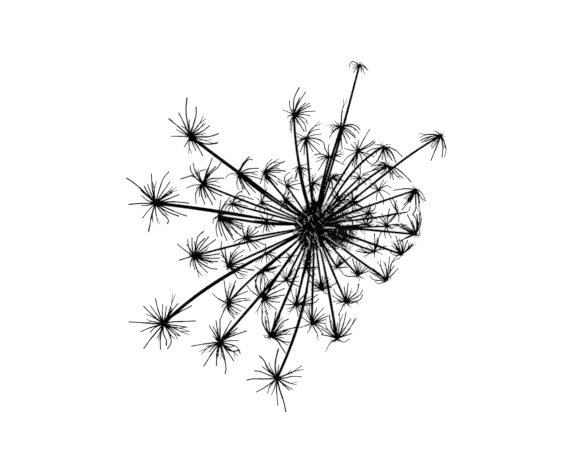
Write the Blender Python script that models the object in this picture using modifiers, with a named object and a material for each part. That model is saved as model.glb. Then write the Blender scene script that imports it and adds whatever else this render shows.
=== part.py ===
"""Dried flower head of a Queen Anne's lace, cut with a short stub of its stalk.

The seeds have fallen, and the bare compound umbel lies open side up on a table. It stands on the slanting
cut of the stub, on bent-back bracts and on low pedicels of two outer sprays. Metres, +Z up; +X is the
photograph's right and +Y its top, so the photograph looks straight down on the head. It is worked out
round the point of the table under the hub, and moved at the end so that its box is centred there.
"""

import math
import random

import bmesh
import bpy
import numpy as np
from mathutils import Matrix, Vector

MM = 0.001
SEED = 11

# The head's real width, and the same width in the photograph's 562 x 450 frame
HEAD_WIDTH = 96 * MM
HEAD_WIDTH_PIXELS = 320
PIXEL = HEAD_WIDTH / HEAD_WIDTH_PIXELS
HUB_PIXEL = (314, 226)

# The umbel's axis leans to the photograph's left, as the head rolls until its outer sprays touch the table
AXIS_LEAN = math.radians(28)
LEAN_BEARING = math.radians(182)
HUB_HEIGHT = 12.6 * MM

# The ray ends lie on a shallow dome, given by its height over the hub along the axis
CENTRE_HEIGHT = 19 * MM
RIM_HEIGHT = 16 * MM
RIM_RADIUS = 50 * MM
HEIGHT_DRAW = 1.2 * MM
SIGHT_LINE_ROUNDS = 30

# Sprays read by eye in the photograph. Each row has the ray's end (x right, y down), the ray's width and the
# usual reach of its pedicels, all in pixels, then the way that its little umbel opens: a bearing (0 to the
# photograph's right, 90 to its top) and a tilt from straight up, both in degrees
SPRAYS = [
    (190, 136, 3.6, 22, 0, 12),
    (155, 203, 3.8, 26, 0, 8),
    (203, 184, 2.3, 21, 0, 8),
    (194, 256, 2.3, 23, 0, 15),
    (163, 324, 3.8, 26, -20, 8),
    (220, 342, 3.0, 24, -30, 8),
    (277, 378, 3.2, 25, 0, 8),
    (228, 303, 2.4, 20, 15, 30),
    (358, 151, 2.3, 17, -100, 25),
    (378, 190, 2.2, 13, 0, 5),
    (329, 157, 2.2, 15, -60, 10),
    (359, 178, 2.2, 13, -20, 10),
    (313, 183, 2.2, 12, -10, 35),
    (369, 213, 2.0, 11, 90, 20),
    (353, 201, 2.0, 12, 0, 10),
    (262, 202, 2.0, 14, -10, 20),
    (285, 201, 2.0, 11, 10, 30),
    (266, 222, 2.0, 13, -90, 20),
    (246, 238, 2.2, 17, 20, 10),
    (266, 253, 2.2, 12, -30, 10),
    (286, 280, 2.2, 14, 40, 15),
    (290, 257, 2.0, 11, 0, 20),
    (307, 267, 2.2, 13, 0, 30),
    (294, 115, 2.6, 20, 30, 40),
    (306, 138, 2.4, 17, -30, 35),
    (299, 167, 2.2, 12, -80, 70),
    (341, 127, 2.6, 20, -90, 45),
    (387, 166, 2.4, 19, -110, 50),
    (219, 216, 2.6, 22, -40, 45),
    (263, 271, 2.2, 14, 20, 30),
    (264, 298, 2.6, 22, 50, 35),
    (296, 304, 2.6, 16, 80, 35),
    (312, 323, 2.4, 18, 60, 35),
    (331, 178, 2.0, 13, -60, 60),
    (338, 200, 2.0, 11, 60, 50),
    (316, 204, 2.0, 11, 100, 40),
    (239, 174, 2.4, 19, -5, 60),
    (265, 172, 2.2, 18, 10, 65),
    (287, 186, 2.0, 14, 0, 65),
    (359, 66, 2.5, 12, -100, 60),
    (383, 147, 2.4, 17, -100, 75),
    (440, 136, 2.4, 20, -130, 75),
    (415, 190, 2.2, 20, -110, 80),
    (397, 213, 2.0, 14, 120, 75),
    (386, 226, 2.0, 15, 75, 65),
    (415, 234, 2.4, 20, 125, 80),
    (401, 254, 2.4, 17, 95, 80),
    (374, 251, 2.2, 13, 95, 60),
    (386, 279, 2.4, 20, 110, 80),
    (358, 275, 2.2, 15, 85, 75),
    (337, 267, 2.2, 14, 60, 60),
    (366, 224, 2.0, 12, 80, 65),
    (232, 204, 2.2, 15, 5, 60),
    (228, 266, 2.4, 21, 15, 50),
    (270, 336, 2.8, 22, 55, 65),
    (337, 338, 2.8, 22, 70, 70),
    (322, 289, 2.2, 15, 85, 65),
    (346, 302, 2.4, 18, 85, 70),
]
# Pedicels read by eye in the photograph, the plainest first: the pixels of their tips, by the ray's end
READ_TIPS = {
    (190, 136): [
        (187, 97), (196, 106), (178.5, 112), (168.5, 118), (176, 129), (171, 136), (205, 116.5),
        (205, 122.5), (219, 133), (212, 141), (218, 142.5), (203, 156), (190, 153.5), (184, 147),
    ],
    (155, 203): [
        (125.5, 177.5), (148, 232), (158.5, 224), (167, 224), (179, 216), (187, 216), (189, 203),
        (179, 194), (177, 188), (170, 181), (169, 171), (151, 173), (144, 186),
    ],
    (203, 184): [
        (180, 179), (186, 188), (196, 203.5), (205, 204.5), (213, 205), (215.5, 200), (222.5, 196),
        (221, 187), (224, 178), (221, 162), (212.5, 157), (193, 162), (190, 165),
    ],
    (194, 256): [
        (177, 243.5), (179, 260), (187.5, 238.5), (192, 237), (204, 231), (209, 236), (216, 239),
        (220, 253.5), (220, 258), (217.5, 269), (208, 273), (201, 277), (190, 267), (205, 238),
    ],
    (163, 324): [
        (196, 321), (192, 305.5), (174, 293.5), (155, 298), (150, 305.5), (143, 306), (128, 322),
        (166, 346), (167, 349.5), (179, 338), (190, 333), (188, 329), (162.5, 304),
    ],
    (220, 342): [
        (191, 346), (200, 353), (203.5, 366.5), (216.5, 366), (225, 374), (234, 361), (237, 357.5),
        (240.5, 354), (239, 340), (247, 330.5), (238, 327.5), (231.5, 320), (216, 320), (213, 326),
        (209, 325),
    ],
    (277, 378): [
        (246.5, 380), (254, 370.5), (259, 355), (262, 366), (269, 362), (278.5, 348), (303, 367),
        (302, 376.5), (298, 383), (293, 389), (286, 412), (278, 405.5), (271.5, 394.5), (267.5, 393),
        (256, 392), (279, 364),
    ],
    (228, 303): [
        (213, 293.5), (224, 280), (231, 282), (236, 280), (248, 291), (247, 298), (251, 299), (246, 308),
        (241, 311), (236, 316), (235, 319), (230, 313), (221, 318),
    ],
    (358, 151): [
        (369.5, 129), (374, 140.5), (375, 142), (350.5, 144), (344, 148.5), (342.5, 163), (358.5, 140),
        (354, 168), (374, 157), (362, 163), (352, 166),
    ],
    (329, 157): [(344, 153), (341, 156.5), (344.5, 165), (317, 158), (316, 162), (318, 171), (324, 146)],
    (359, 178): [(350, 176), (359, 165), (350, 179), (371, 180.5), (366, 185), (358, 188), (369, 174.5)],
    (378, 190): [
        (376, 200.5), (383, 204.5), (391, 188), (390, 195), (374.5, 182.5), (369, 187.5), (383.5, 179.5),
        (370, 183), (386, 181),
    ],
    (294, 115): [
        (282, 109.5), (299.5, 87), (306, 91.5), (300, 97), (306, 102.5), (310, 103), (316, 111),
        (310.5, 116), (307, 124), (306, 132), (290, 129), (289.5, 100.5), (287, 117),
    ],
    (306, 138): [
        (321, 122), (322, 134), (321, 140.5), (325, 150), (320, 145), (321, 154), (296, 133), (297, 142),
        (297, 147), (300, 152), (304, 155),
    ],
    (341, 127): [
        (345, 99), (360, 130.5), (359, 134), (355, 136), (355.5, 138), (350, 139), (347, 144), (328, 127),
        (332, 133), (329, 138), (342, 150), (335, 122),
    ],
    (387, 166): [
        (411, 182.5), (403, 178.5), (400, 178), (393, 180), (390, 178.5), (377, 165), (371, 171),
        (362, 174.5), (380, 174), (378, 162),
    ],
    (219, 216): [
        (213, 223.5), (217.5, 237), (222, 236), (227, 241), (234, 240), (233, 236), (232, 230), (237, 233),
        (243, 223.5), (244.5, 228), (221, 199), (230, 197), (226, 201),
    ],
    (264, 298): [
        (247, 285), (256, 314), (268, 314), (277, 309.5), (270.5, 308), (280, 302), (279, 297),
        (285, 294.5), (285, 288), (281, 283.5), (255, 279), (261, 278), (266.5, 279), (262.5, 311),
    ],
    (296, 304): [
        (285, 304), (287, 298), (288, 313), (288, 309), (291, 290), (296, 288), (308, 291), (318, 294),
        (319, 298), (312, 304.5), (301, 315),
    ],
    (312, 323): [
        (307, 333), (317, 340), (299, 327.5), (324, 307), (317, 307), (325, 313), (328, 315.5), (300, 315),
        (304, 309), (308, 306), (323, 334), (328, 330),
    ],
    (239, 174): [
        (249.5, 156), (253, 160), (259, 168), (258, 173), (263, 179.5), (225.5, 178), (239.5, 190),
        (250, 195), (256, 193), (245, 189), (252, 180),
    ],
    (265, 172): [
        (272.5, 159), (280, 160), (285, 161), (280, 167), (286, 171), (281, 172.5), (283, 183), (278, 185),
        (260, 184), (265, 188), (268, 184),
    ],
    (359, 66): [
        (349, 68), (351.5, 65.5), (352, 69), (353, 73), (366.5, 70), (361, 72), (364, 74), (368, 71),
    ],
    (383, 147): [
        (402, 157), (395.5, 163), (392, 161), (388, 158), (386, 163), (379, 158), (374, 155), (366, 160),
        (368, 158), (366, 152.5), (374, 145),
    ],
    (440, 136): [
        (418, 136), (420.5, 143), (424, 142), (430, 147), (430, 161), (441, 158), (442, 149), (444, 148),
        (435, 142.5),
    ],
    (415, 190): [
        (403, 199), (405, 201), (407, 201.5), (401, 210), (412, 214), (418.5, 207), (419, 203), (409, 203),
    ],
    (397, 213): [
        (389.5, 199), (391, 197), (390, 222), (398, 222), (409.5, 206), (407, 211.5), (396, 200),
        (385, 218),
    ],
    (386, 226): [
        (378, 216), (389, 208), (399, 226), (407, 225), (375, 221.5), (393, 229), (381, 213), (395, 214),
        (385, 238), (391, 238),
    ],
    (415, 234): [
        (416.5, 206), (411.5, 213.5), (406.5, 214), (400, 224), (396, 224.5), (399, 227), (400, 240),
        (416, 214), (418.5, 213), (411, 220), (396, 243),
    ],
    (401, 254): [
        (391, 240), (395, 235), (398, 238), (407, 239.5), (415, 242.5), (412, 243.5), (389.5, 251),
        (391, 245), (402, 240), (394, 243),
    ],
    (374, 251): [
        (369, 244), (374, 233), (381, 231), (384, 249), (382, 254.5), (355, 250.5), (363, 257.5),
        (358, 247),
    ],
    (386, 279): [
        (378, 260), (384, 261), (389, 256), (399, 256), (369, 275), (369, 271), (374.5, 281), (391, 278.5),
        (380, 265), (372, 272.5), (394, 265),
    ],
    (358, 275): [
        (339, 268), (352, 258), (356, 260), (359, 262), (361, 264), (366, 265), (368, 267), (350, 271.5),
        (364, 279), (371, 270),
    ],
    (337, 267): [(351, 256), (342.5, 257), (348, 267), (339, 258), (332, 270), (346, 257)],
    (346, 302): [
        (333, 288), (332, 295), (336, 303.5), (344, 286), (348, 282), (352, 289), (358.5, 283),
        (362.5, 289), (362.5, 294), (358.5, 303.5), (351, 307), (338, 315),
    ],
    (337, 338): [
        (329, 314), (325, 324), (321, 334), (321, 328), (326, 350), (337.5, 322), (341, 313), (346, 311),
        (351, 317.5), (356, 317), (352, 333), (343, 326),
    ],
    (270, 336): [
        (262.5, 310), (265, 316), (265, 310), (276, 311), (282, 315.5), (289, 318.5), (296, 327),
        (284, 338), (290, 342), (288, 345), (285.5, 353), (284, 324),
    ],
    (228, 266): [
        (225, 248), (222, 241), (231, 252), (240, 246), (245, 249.5), (243, 255), (255, 270), (244, 263),
        (248, 272), (246.5, 277), (243, 278), (221, 254.5), (220.5, 260.5),
    ],
    (246, 238): [
        (242, 224), (231, 226), (233.5, 242), (251, 251.5), (257, 249), (260, 247.5), (252, 227.5),
        (257, 227),
    ],
    (266, 253): [(276.5, 253), (270, 260), (261, 263), (267, 263), (281, 263), (273, 259)],
    (263, 271): [(255.5, 288), (276, 272.5), (268.5, 281), (281, 265), (277, 267.5), (261, 285)],
    (286, 280): [
        (287, 267), (295, 268), (280.5, 273), (299, 276), (299, 281), (301, 287), (291, 290), (276, 281),
    ],
    (290, 257): [(295.5, 264), (297, 255), (286, 250), (292, 264)],
    (262, 202): [(255.5, 197), (260, 213), (268, 195), (262, 191), (272, 201), (265, 212)],
    (232, 204): [(254, 199.5), (243, 191.5), (242, 202), (248, 206), (224, 213), (228, 213), (222, 209)],
    (287, 186): [(290, 172), (298, 180), (294.5, 188.5), (285, 195), (288, 195)],
}
# The two outer sprays that stand on the table, and the pixels where the tips of their pedicels touch it
STANDING_TIPS = {
    (155, 203): [(128, 204), (142, 218), (140, 190)],
    (163, 324): [(143, 349), (160, 350), (140, 332)],
}
# Rays that don't run straight: how far the two inner points of each lie to the left of the straight line from
# the hub to its end, in pixels
RAY_BENDS = {
    (190, 136): (0.7, 0.7),
    (155, 203): (-0.3, -0.9),
    (203, 184): (0.8, 0.7),
    (194, 256): (-0.3, -0.7),
    (163, 324): (-4.1, -5.8),
    (220, 342): (2.4, 1.3),
    (277, 378): (7.8, 6.2),
    (228, 303): (-1.4, -2.3),
    (358, 151): (1.4, 1.1),
    (329, 157): (1.0, 0.8),
    (359, 178): (1.2, 0.9),
    (313, 183): (1.0, 1.0),
    (294, 115): (3.2, 3.0),
    (306, 138): (0, 0.1),
    (299, 167): (1.6, 1.2),
    (341, 127): (1.1, 0.9),
    (387, 166): (2.3, 2.5),
    (219, 216): (2.3, 1.3),
    (264, 298): (-1.8, -1.3),
    (296, 304): (0.2, 0.3),
    (312, 323): (0.3, -0.2),
    (239, 174): (1.9, 1.7),
    (265, 172): (2.1, 2.2),
    (359, 66): (-1.1, -0.9),
    (383, 147): (4.6, 5.8),
    (440, 136): (-0.5, 2.1),
    (397, 213): (0, -0.9),
    (415, 234): (0.9, 0.3),
    (401, 254): (1.4, 0.7),
    (374, 251): (-0.7, -0.9),
    (337, 267): (-0.4, -0.7),
    (270, 336): (1.0, 0.5),
    (337, 338): (1.8, 0.8),
    (322, 289): (-0.3, -0.3),
    (346, 302): (-0.3, -0.2),
}

# Hub and stalk: a ball that narrows into the stub, which drifts a little to one side as it goes down
HUB_RADIUS = 5.0 * MM
HUB_LOWEST_ANGLE = math.radians(118)
HUB_ARC_STEPS = 9
HUB_WAIST_DROP = 5.4 * MM
TURN_STEPS = 16
STALK_RADIUS = 2.1 * MM
STUB_ROOT_DROP = 2 * MM
STUB_PAST_TABLE = 2 * MM
STUB_DRIFT = Vector((1.2 * MM, -2.8 * MM, 0))
STUB_POINTS = 5
STUB_ROUNDING = 3

# Rays: the feet stand just off the hub, and each ray soon turns from square to it to its own straight way
SEAT_GAP = 0.3 * MM
FOOT_ROOM = 0.15 * MM
FOOT_LOWEST_ANGLE = math.radians(98)
FOOT_ROUNDS = 400
FOOT_PUSH = 0.35
FOOT_PULL_HOME = 0.01
FOOT_LIFT = 0.05
RAY_HANDLE_SHARE = 0.42
RAY_STRAIGHTNESS = 0.65
RAY_POINT_SHARES = (0, 0.35, 0.75, 1)
RAY_BOW_DRAW = 0.008
RAY_ROUNDING = 1
PARTING_ROUNDS = 120
PARTING_STEP = 0.4 * MM
PARTING_SHARES = (0.35, 0.35, 1)
KNOT_RADIUS = 0.8 * MM

# Pedicels: three-sided needles, more of them where they are longer
PEDICEL_LENGTH_DRAW = 0.2
PEDICEL_PLACE_DRAW = 0.4
PEDICEL_FIRST_LOOSENESS = 0.15
PEDICEL_LAST_SHORTENING = 0.3
PEDICEL_LEAST_SHARE = 0.02
PEDICEL_BASE_COUNT = 2
PEDICELS_PER_METRE = 1800
PEDICEL_ROOT_RADIUS = 0.19 * MM
PEDICEL_TIP_RADIUS = 0.12 * MM
NEEDLE_SIDES = 3
OPEN_SPREAD = math.radians(106)
SIDE_SPREAD = math.radians(74)
LONG_PEDICEL_RISE = 0.12
# A read pedicel's rise over its ray's end, as shares of the rise that its length asks for, in the order tried
RISE_SHARES = (1, 0.7, 1.3, 0.4, 0.1, 1.7, -0.3, -0.8)
LEAST_ANGLE_TO_OWN_RAY = math.radians(22)
LEAST_SHARE_BETWEEN_TIPS = 0.16
GOLDEN_ANGLE = math.pi * (3 - math.sqrt(5))
MOST_DRAWS = 60

# Involucre: a ring round the stalk with thin, feather-like bracts bent back along it
RING_DROP = 7.2 * MM
RING_HEIGHT = 1.6 * MM
RING_RADIUS = 3.5 * MM
BRACT_COUNT = 9
BRACT_ROOT_DEPTH = 0.6 * MM
BRACT_REACH = 5.0 * MM
BRACT_DROP = 11.0 * MM
BRACT_POINT_SHARES = (0, 0.35, 0.7, 1)
BRACT_RADIUS = 0.32 * MM
BRACT_ROUNDING = 0
BRACT_DRAW = 0.2
BRACT_TURN_DRAW = 0.15
THREAD_LENGTH = 3.0 * MM
THREAD_LENGTH_SHARES = (0.7, 1.1)
THREAD_ROOT_RADIUS = 0.16 * MM
THREAD_TIP_RADIUS = 0.11 * MM

# Free space kept between two nodes, and who owns the space of the two that aren't sprays
CLEARANCE = 0.25 * MM
STALK_OWNER = -1
INVOLUCRE_OWNER = -2

# Blender's merges work in metres
MERGE_DISTANCE = 1e-6
SHARP_EDGE = math.radians(35)

UP = Vector((0, 0, 1))
LEAN_SINE = math.sin(AXIS_LEAN)
AXIS = Vector(
    (LEAN_SINE * math.cos(LEAN_BEARING), LEAN_SINE * math.sin(LEAN_BEARING), math.cos(AXIS_LEAN))
)
AXIS_TURN = AXIS.to_track_quat("Z", "Y").to_matrix().to_4x4()
HUB = Vector((0, 0, HUB_HEIGHT))


def clear_scene():
    for old in list(bpy.data.objects):
        bpy.data.objects.remove(old, do_unlink=True)


def dried_material(name, colour, roughness):
    material = bpy.data.materials.new(name)
    material.use_nodes = True
    surface = material.node_tree.nodes["Principled BSDF"]
    surface.inputs["Base Color"].default_value = (*colour, 1)
    surface.inputs["Roughness"].default_value = roughness
    surface.inputs["Metallic"].default_value = 0
    return material


def give_material(made, material):
    made.data.materials.clear()
    made.data.materials.append(material)


# Shapes: needles, tubes, turned bodies and their union


def object_of(shape, name, collection):
    """The bmesh as a new object of the collection."""
    mesh = bpy.data.meshes.new(name)
    shape.to_mesh(mesh)
    shape.free()
    made = bpy.data.objects.new(name, mesh)
    collection.objects.link(made)
    return made


def evaluated_mesh(made):
    """A new mesh of the object as its modifiers or its bevel leave it."""
    bpy.context.view_layer.update()
    graph = bpy.context.evaluated_depsgraph_get()
    return bpy.data.meshes.new_from_object(made.evaluated_get(graph))


def add_needle(start, end, root_radius, tip_radius, collection):
    """A thin three-sided cone from start to end."""
    along = end - start
    turn = along.to_track_quat("Z", "Y").to_matrix().to_4x4()
    shape = bmesh.new()
    bmesh.ops.create_cone(
        shape,
        cap_ends=True,
        segments=NEEDLE_SIDES,
        radius1=root_radius,
        radius2=tip_radius,
        depth=along.length,
        matrix=Matrix.Translation((start + end) / 2) @ turn,
    )
    return object_of(shape, "needle", collection)


def tube_along(name, path, radius, rounding, collection):
    """A closed tube through the points, with 4 sides and 2 more for each step of rounding."""
    curve = bpy.data.curves.new(name, "CURVE")
    curve.dimensions = "3D"
    curve.bevel_depth = radius
    curve.bevel_resolution = rounding
    curve.use_fill_caps = True
    spline = curve.splines.new("POLY")
    spline.points.add(len(path) - 1)
    for point, place in zip(spline.points, path):
        point.co = (*place, 1)
    guide = bpy.data.objects.new(name + "_line", curve)
    collection.objects.link(guide)
    mesh = evaluated_mesh(guide)
    shape = bmesh.new()
    shape.from_mesh(mesh)
    bmesh.ops.remove_doubles(shape, verts=shape.verts, dist=MERGE_DISTANCE)
    bmesh.ops.recalc_face_normals(shape, faces=shape.faces)
    made = object_of(shape, name, collection)
    made.matrix_world = guide.matrix_world
    bpy.data.meshes.remove(mesh)
    bpy.data.objects.remove(guide)
    return made


def turned_body(name, outline, place, collection):
    """A body turned round the umbel's axis from an outline of (distance, height) points."""
    profile = bmesh.new()
    corners = [profile.verts.new((across, 0, up)) for across, up in outline]
    for one, two in zip(corners, corners[1:]):
        profile.edges.new((one, two))
    body = object_of(profile, name, collection)
    screw = body.modifiers.new("turn", "SCREW")
    screw.steps = TURN_STEPS
    screw.render_steps = TURN_STEPS
    screw.use_merge_vertices = True
    screw.merge_threshold = MERGE_DISTANCE
    body.data = evaluated_mesh(body)
    body.modifiers.clear()
    shape = bmesh.new()
    shape.from_mesh(body.data)
    bmesh.ops.remove_doubles(shape, verts=shape.verts, dist=MERGE_DISTANCE)
    bmesh.ops.transform(shape, matrix=Matrix.Translation(place) @ AXIS_TURN, verts=shape.verts)
    shape.to_mesh(body.data)
    shape.free()
    return body


def fuse(body, pieces):
    """One Boolean union of the collection's pieces into the body, applied. EXACT takes minutes on needles."""
    join = body.modifiers.new("join", "BOOLEAN")
    join.operation = "UNION"
    join.operand_type = "COLLECTION"
    join.collection = pieces
    join.solver = "MANIFOLD"
    body.data = evaluated_mesh(body)
    body.modifiers.clear()
    for piece in list(pieces.objects):
        bpy.data.objects.remove(piece, do_unlink=True)


# Free space: what has been placed, and how near it is


def gaps_between(start, end, starts, ends):
    """The shortest way to one stretch from each of many: its length, where it meets the one, its line."""
    tiny = 1e-14
    along = end - start
    others = ends - starts
    between = start - starts
    along_squared = max(along @ along, tiny)
    others_squared = np.maximum((others * others).sum(axis=1), tiny)
    along_between = between @ along
    others_between = (others * between).sum(axis=1)
    both = others @ along
    skew = along_squared * others_squared - both * both
    at_skew = (both * others_between - along_between * others_squared) / np.maximum(skew, tiny**2)
    here = np.clip(np.where(skew > tiny * along_squared, at_skew, 0), 0, 1)
    there = (both * here + others_between) / others_squared
    here = np.where(there < 0, np.clip(-along_between / along_squared, 0, 1), here)
    here = np.where(there > 1, np.clip((both - along_between) / along_squared, 0, 1), here)
    there = np.clip(there, 0, 1)
    apart = between + here[:, None] * along - there[:, None] * others
    return np.linalg.norm(apart, axis=1), here, apart


class Space:
    """The straight stretches already placed, each with its radius and the node that it belongs to."""

    def __init__(self):
        self.starts = np.empty((0, 3))
        self.ends = np.empty((0, 3))
        self.radii = np.empty(0)
        self.owners = np.empty(0, int)

    def fill(self, start, end, radius, owner):
        self.starts = np.vstack([self.starts, list(start)])
        self.ends = np.vstack([self.ends, list(end)])
        self.radii = np.append(self.radii, radius)
        self.owners = np.append(self.owners, owner)

    def fill_path(self, path, radius, owner):
        for one, two in zip(path, path[1:]):
            self.fill(one, two, radius, owner)

    def is_clear(self, start, end, radius, owner):
        others = self.owners != owner
        gap = gaps_between(np.array(start), np.array(end), self.starts[others], self.ends[others])[0]
        return bool((gap > self.radii[others] + radius + CLEARANCE).all())


# Rays: where they end, where they stand and how they run


def place_of(pixel, height):
    """The point over a pixel of the photograph, at a height over the table."""
    across = (pixel[0] - HUB_PIXEL[0]) * PIXEL
    up_the_photo = (HUB_PIXEL[1] - pixel[1]) * PIXEL
    return Vector((across, up_the_photo, height))


def crown_height(radius):
    """Height of the ray ends over the hub, along the axis, at this distance from the axis."""
    return CENTRE_HEIGHT + (RIM_HEIGHT - CENTRE_HEIGHT) * (radius / RIM_RADIUS) ** 2


def end_of_ray(pixel, draw):
    """Where the sight line through the pixel meets the dome of the ray ends."""
    raised = draw.uniform(-HEIGHT_DRAW, HEIGHT_DRAW)
    end = place_of(pixel, HUB_HEIGHT)
    for _ in range(SIGHT_LINE_ROUNDS):
        along = (end - HUB).dot(AXIS)
        radius = (end - HUB - AXIS * along).length
        end.z += (crown_height(radius) + raised - along) / AXIS.z
    return end


def spread_feet(ends, radii):
    """Unit vectors from the hub to the ray feet: the rays' own ways, pushed apart until each has room."""
    own = np.array([list((end - HUB).normalized()) for end in ends])
    spread = own.copy()
    thick = np.array(radii)
    least = (thick[:, None] + thick[None] + CLEARANCE + FOOT_ROOM) / HUB_RADIUS
    itself = np.eye(len(own))
    axis = np.array(AXIS)
    for _ in range(FOOT_ROUNDS):
        apart = spread[:, None] - spread[None]
        gaps = np.linalg.norm(apart, axis=2) + itself
        push = np.where(gaps < least, (least - gaps) / gaps, 0) * (1 - itself)
        spread += FOOT_PUSH * (push[:, :, None] * apart).sum(axis=1) + FOOT_PULL_HOME * (own - spread)
        spread /= np.linalg.norm(spread, axis=1)[:, None]
        too_low = spread @ axis < math.cos(FOOT_LOWEST_ANGLE)
        spread[too_low] += FOOT_LIFT * axis
    return [Vector(way).normalized() for way in spread]


def bent_aside(point, end, bend):
    """The point, put this far to the left of the straight line from the hub to the end, seen from above."""
    straight = (end - HUB).xy.normalized()
    left = Vector((-straight.y, straight.x))
    off = (point - HUB).xy.dot(left)
    return point + (left * (bend * PIXEL - off)).to_3d()


def ray_path(way, end, bends, draw):
    """Points from the foot to the end: the ray turns to its straight way, and may bend a little sideways."""
    foot = HUB + way * (HUB_RADIUS + SEAT_GAP)
    length = (end - foot).length
    bow = Vector([draw.uniform(-RAY_BOW_DRAW, RAY_BOW_DRAW) * length for _ in range(3)])
    leaving = way.lerp((end - foot).normalized(), RAY_STRAIGHTNESS)
    handle = foot + leaving * (length * RAY_HANDLE_SHARE) + bow
    path = []
    for share in RAY_POINT_SHARES:
        near = foot.lerp(handle, share)
        far = handle.lerp(end, share)
        path.append(near.lerp(far, share))
    if bends:
        path[1:3] = [bent_aside(point, end, bend) for point, bend in zip(path[1:3], bends)]
    return path


def part_rays(paths, radii):
    """Moves the inner points of rays that would touch, mostly up or down, until all run clear."""
    points = np.array([[list(point) for point in path] for path in paths])
    stretches = len(RAY_POINT_SHARES) - 1
    owner = np.repeat(np.arange(len(paths)), stretches)
    last = np.tile(np.arange(stretches), len(paths)) == stretches - 1
    wide = np.array(radii)[owner] + CLEARANCE + np.where(last, KNOT_RADIUS, 0)
    for _ in range(PARTING_ROUNDS):
        starts = points[:, :-1].reshape(-1, 3)
        ends = points[:, 1:].reshape(-1, 3)
        moved = np.zeros_like(points)
        for stretch, ray in enumerate(owner):
            gap, here, apart = gaps_between(starts[stretch], ends[stretch], starts, ends)
            lack = np.where(owner == ray, 0, np.maximum(wide[stretch] + wide - gap, 0))
            push = apart * (0.5 * lack / np.maximum(gap, MERGE_DISTANCE))[:, None]
            first = stretch % stretches
            moved[ray, first] += (push * (1 - here)[:, None]).sum(axis=0)
            moved[ray, first + 1] += (push * here[:, None]).sum(axis=0)
        moved = np.clip(moved * PARTING_SHARES, -PARTING_STEP, PARTING_STEP)
        points[:, 1:-1] += moved[:, 1:-1]
    return [[Vector(point) for point in path] for path in points]


# Little umbels: which way they face and where their pedicels go


def facing_of(bearing, tilt):
    """The way a little umbel faces, from its bearing in the photograph and its tilt from straight up."""
    turn = math.radians(bearing)
    lean = math.radians(tilt)
    return Vector((math.cos(turn) * math.sin(lean), math.sin(turn) * math.sin(lean), math.cos(lean)))


def cap_direction(facing, spread, share, bearing):
    """A direction round the facing. The share runs over the cap's area, from its middle to its edge."""
    tilt = math.acos(1 - share * (1 - math.cos(spread)))
    side = facing.orthogonal().normalized()
    around = side * math.cos(bearing) + facing.cross(side) * math.sin(bearing)
    return facing * math.cos(tilt) + around * math.sin(tilt)


def stand_pedicels(number, pixel, end, space):
    """Tips of the pedicels that stand on the table."""
    tips = [place_of(tip, PEDICEL_TIP_RADIUS) for tip in STANDING_TIPS.get(pixel, [])]
    for tip in tips:
        space.fill(end, tip, PEDICEL_ROOT_RADIUS, number)
    return tips


def pedicels_read(number, pixel, end, length, facing, count, space, draw):
    """Tips of the pedicels read in the photograph. The shorter one looks there, the more it stands up."""
    tips = []
    for tip_pixel in READ_TIPS.get(pixel, [])[:count]:
        flat = place_of(tip_pixel, end.z)
        across = (flat - end).length
        rise = max(LONG_PEDICEL_RISE * across, math.sqrt(max(0, length**2 - across**2)))
        if draw.random() > (1 + facing.z) / 2:
            rise = -rise
        for share in RISE_SHARES:
            tip = flat + UP * rise * share
            tip.z = max(tip.z, PEDICEL_TIP_RADIUS)
            if space.is_clear(end, tip, PEDICEL_ROOT_RADIUS, number):
                tips.append(tip)
                space.fill(end, tip, PEDICEL_ROOT_RADIUS, number)
                break
    return tips


def draw_pedicels(number, path, length, facing, spread, count, space, draw):
    """Tips of a little umbel's other pedicels, each drawn anew until it is clear of the other nodes."""
    end = path[-1]
    back_along_ray = (path[-2] - end).normalized()
    first = draw.uniform(0, 2 * math.pi)
    tips = []
    for index in range(count):
        for attempt in range(MOST_DRAWS):
            tried = attempt / MOST_DRAWS
            loose = PEDICEL_FIRST_LOOSENESS + tried
            share = (index + 0.5) / count + draw.uniform(-PEDICEL_PLACE_DRAW, PEDICEL_PLACE_DRAW) * loose
            share = min(1, max(PEDICEL_LEAST_SHARE, share))
            bearing = first + index * GOLDEN_ANGLE + draw.uniform(-1, 1) * loose
            way = cap_direction(facing, spread, share, bearing)
            reach = length * (1 + draw.uniform(-PEDICEL_LENGTH_DRAW, PEDICEL_LENGTH_DRAW))
            reach *= 1 - PEDICEL_LAST_SHORTENING * tried
            tip = end + way * reach
            tip.z = max(tip.z, PEDICEL_TIP_RADIUS)
            if way.angle(back_along_ray) < LEAST_ANGLE_TO_OWN_RAY:
                continue
            if any((tip - other).length < LEAST_SHARE_BETWEEN_TIPS * reach for other in tips):
                continue
            if space.is_clear(end, tip, PEDICEL_ROOT_RADIUS, number):
                tips.append(tip)
                space.fill(end, tip, PEDICEL_ROOT_RADIUS, number)
                break
    return tips


def add_spray(name, path, radius, pedicel_tips, parts, pieces):
    """One node: a ray, the knot at its end and the pedicels, fused."""
    body = tube_along(name, path, radius, RAY_ROUNDING, parts)
    end = path[-1]
    knot = bmesh.new()
    bmesh.ops.create_icosphere(
        knot, subdivisions=1, radius=KNOT_RADIUS, matrix=Matrix.Translation(end)
    )
    object_of(knot, "knot", pieces)
    for tip in pedicel_tips:
        add_needle(end, tip, PEDICEL_ROOT_RADIUS, PEDICEL_TIP_RADIUS, pieces)
    fuse(body, pieces)
    return body


# Stalk and involucre


def stub_point(drop):
    """The middle of the stub, this far below the hub along the axis."""
    share = max(0, drop - STUB_ROOT_DROP) / (HUB_HEIGHT / AXIS.z - STUB_ROOT_DROP)
    return HUB - AXIS * drop + STUB_DRIFT * share**2


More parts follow.
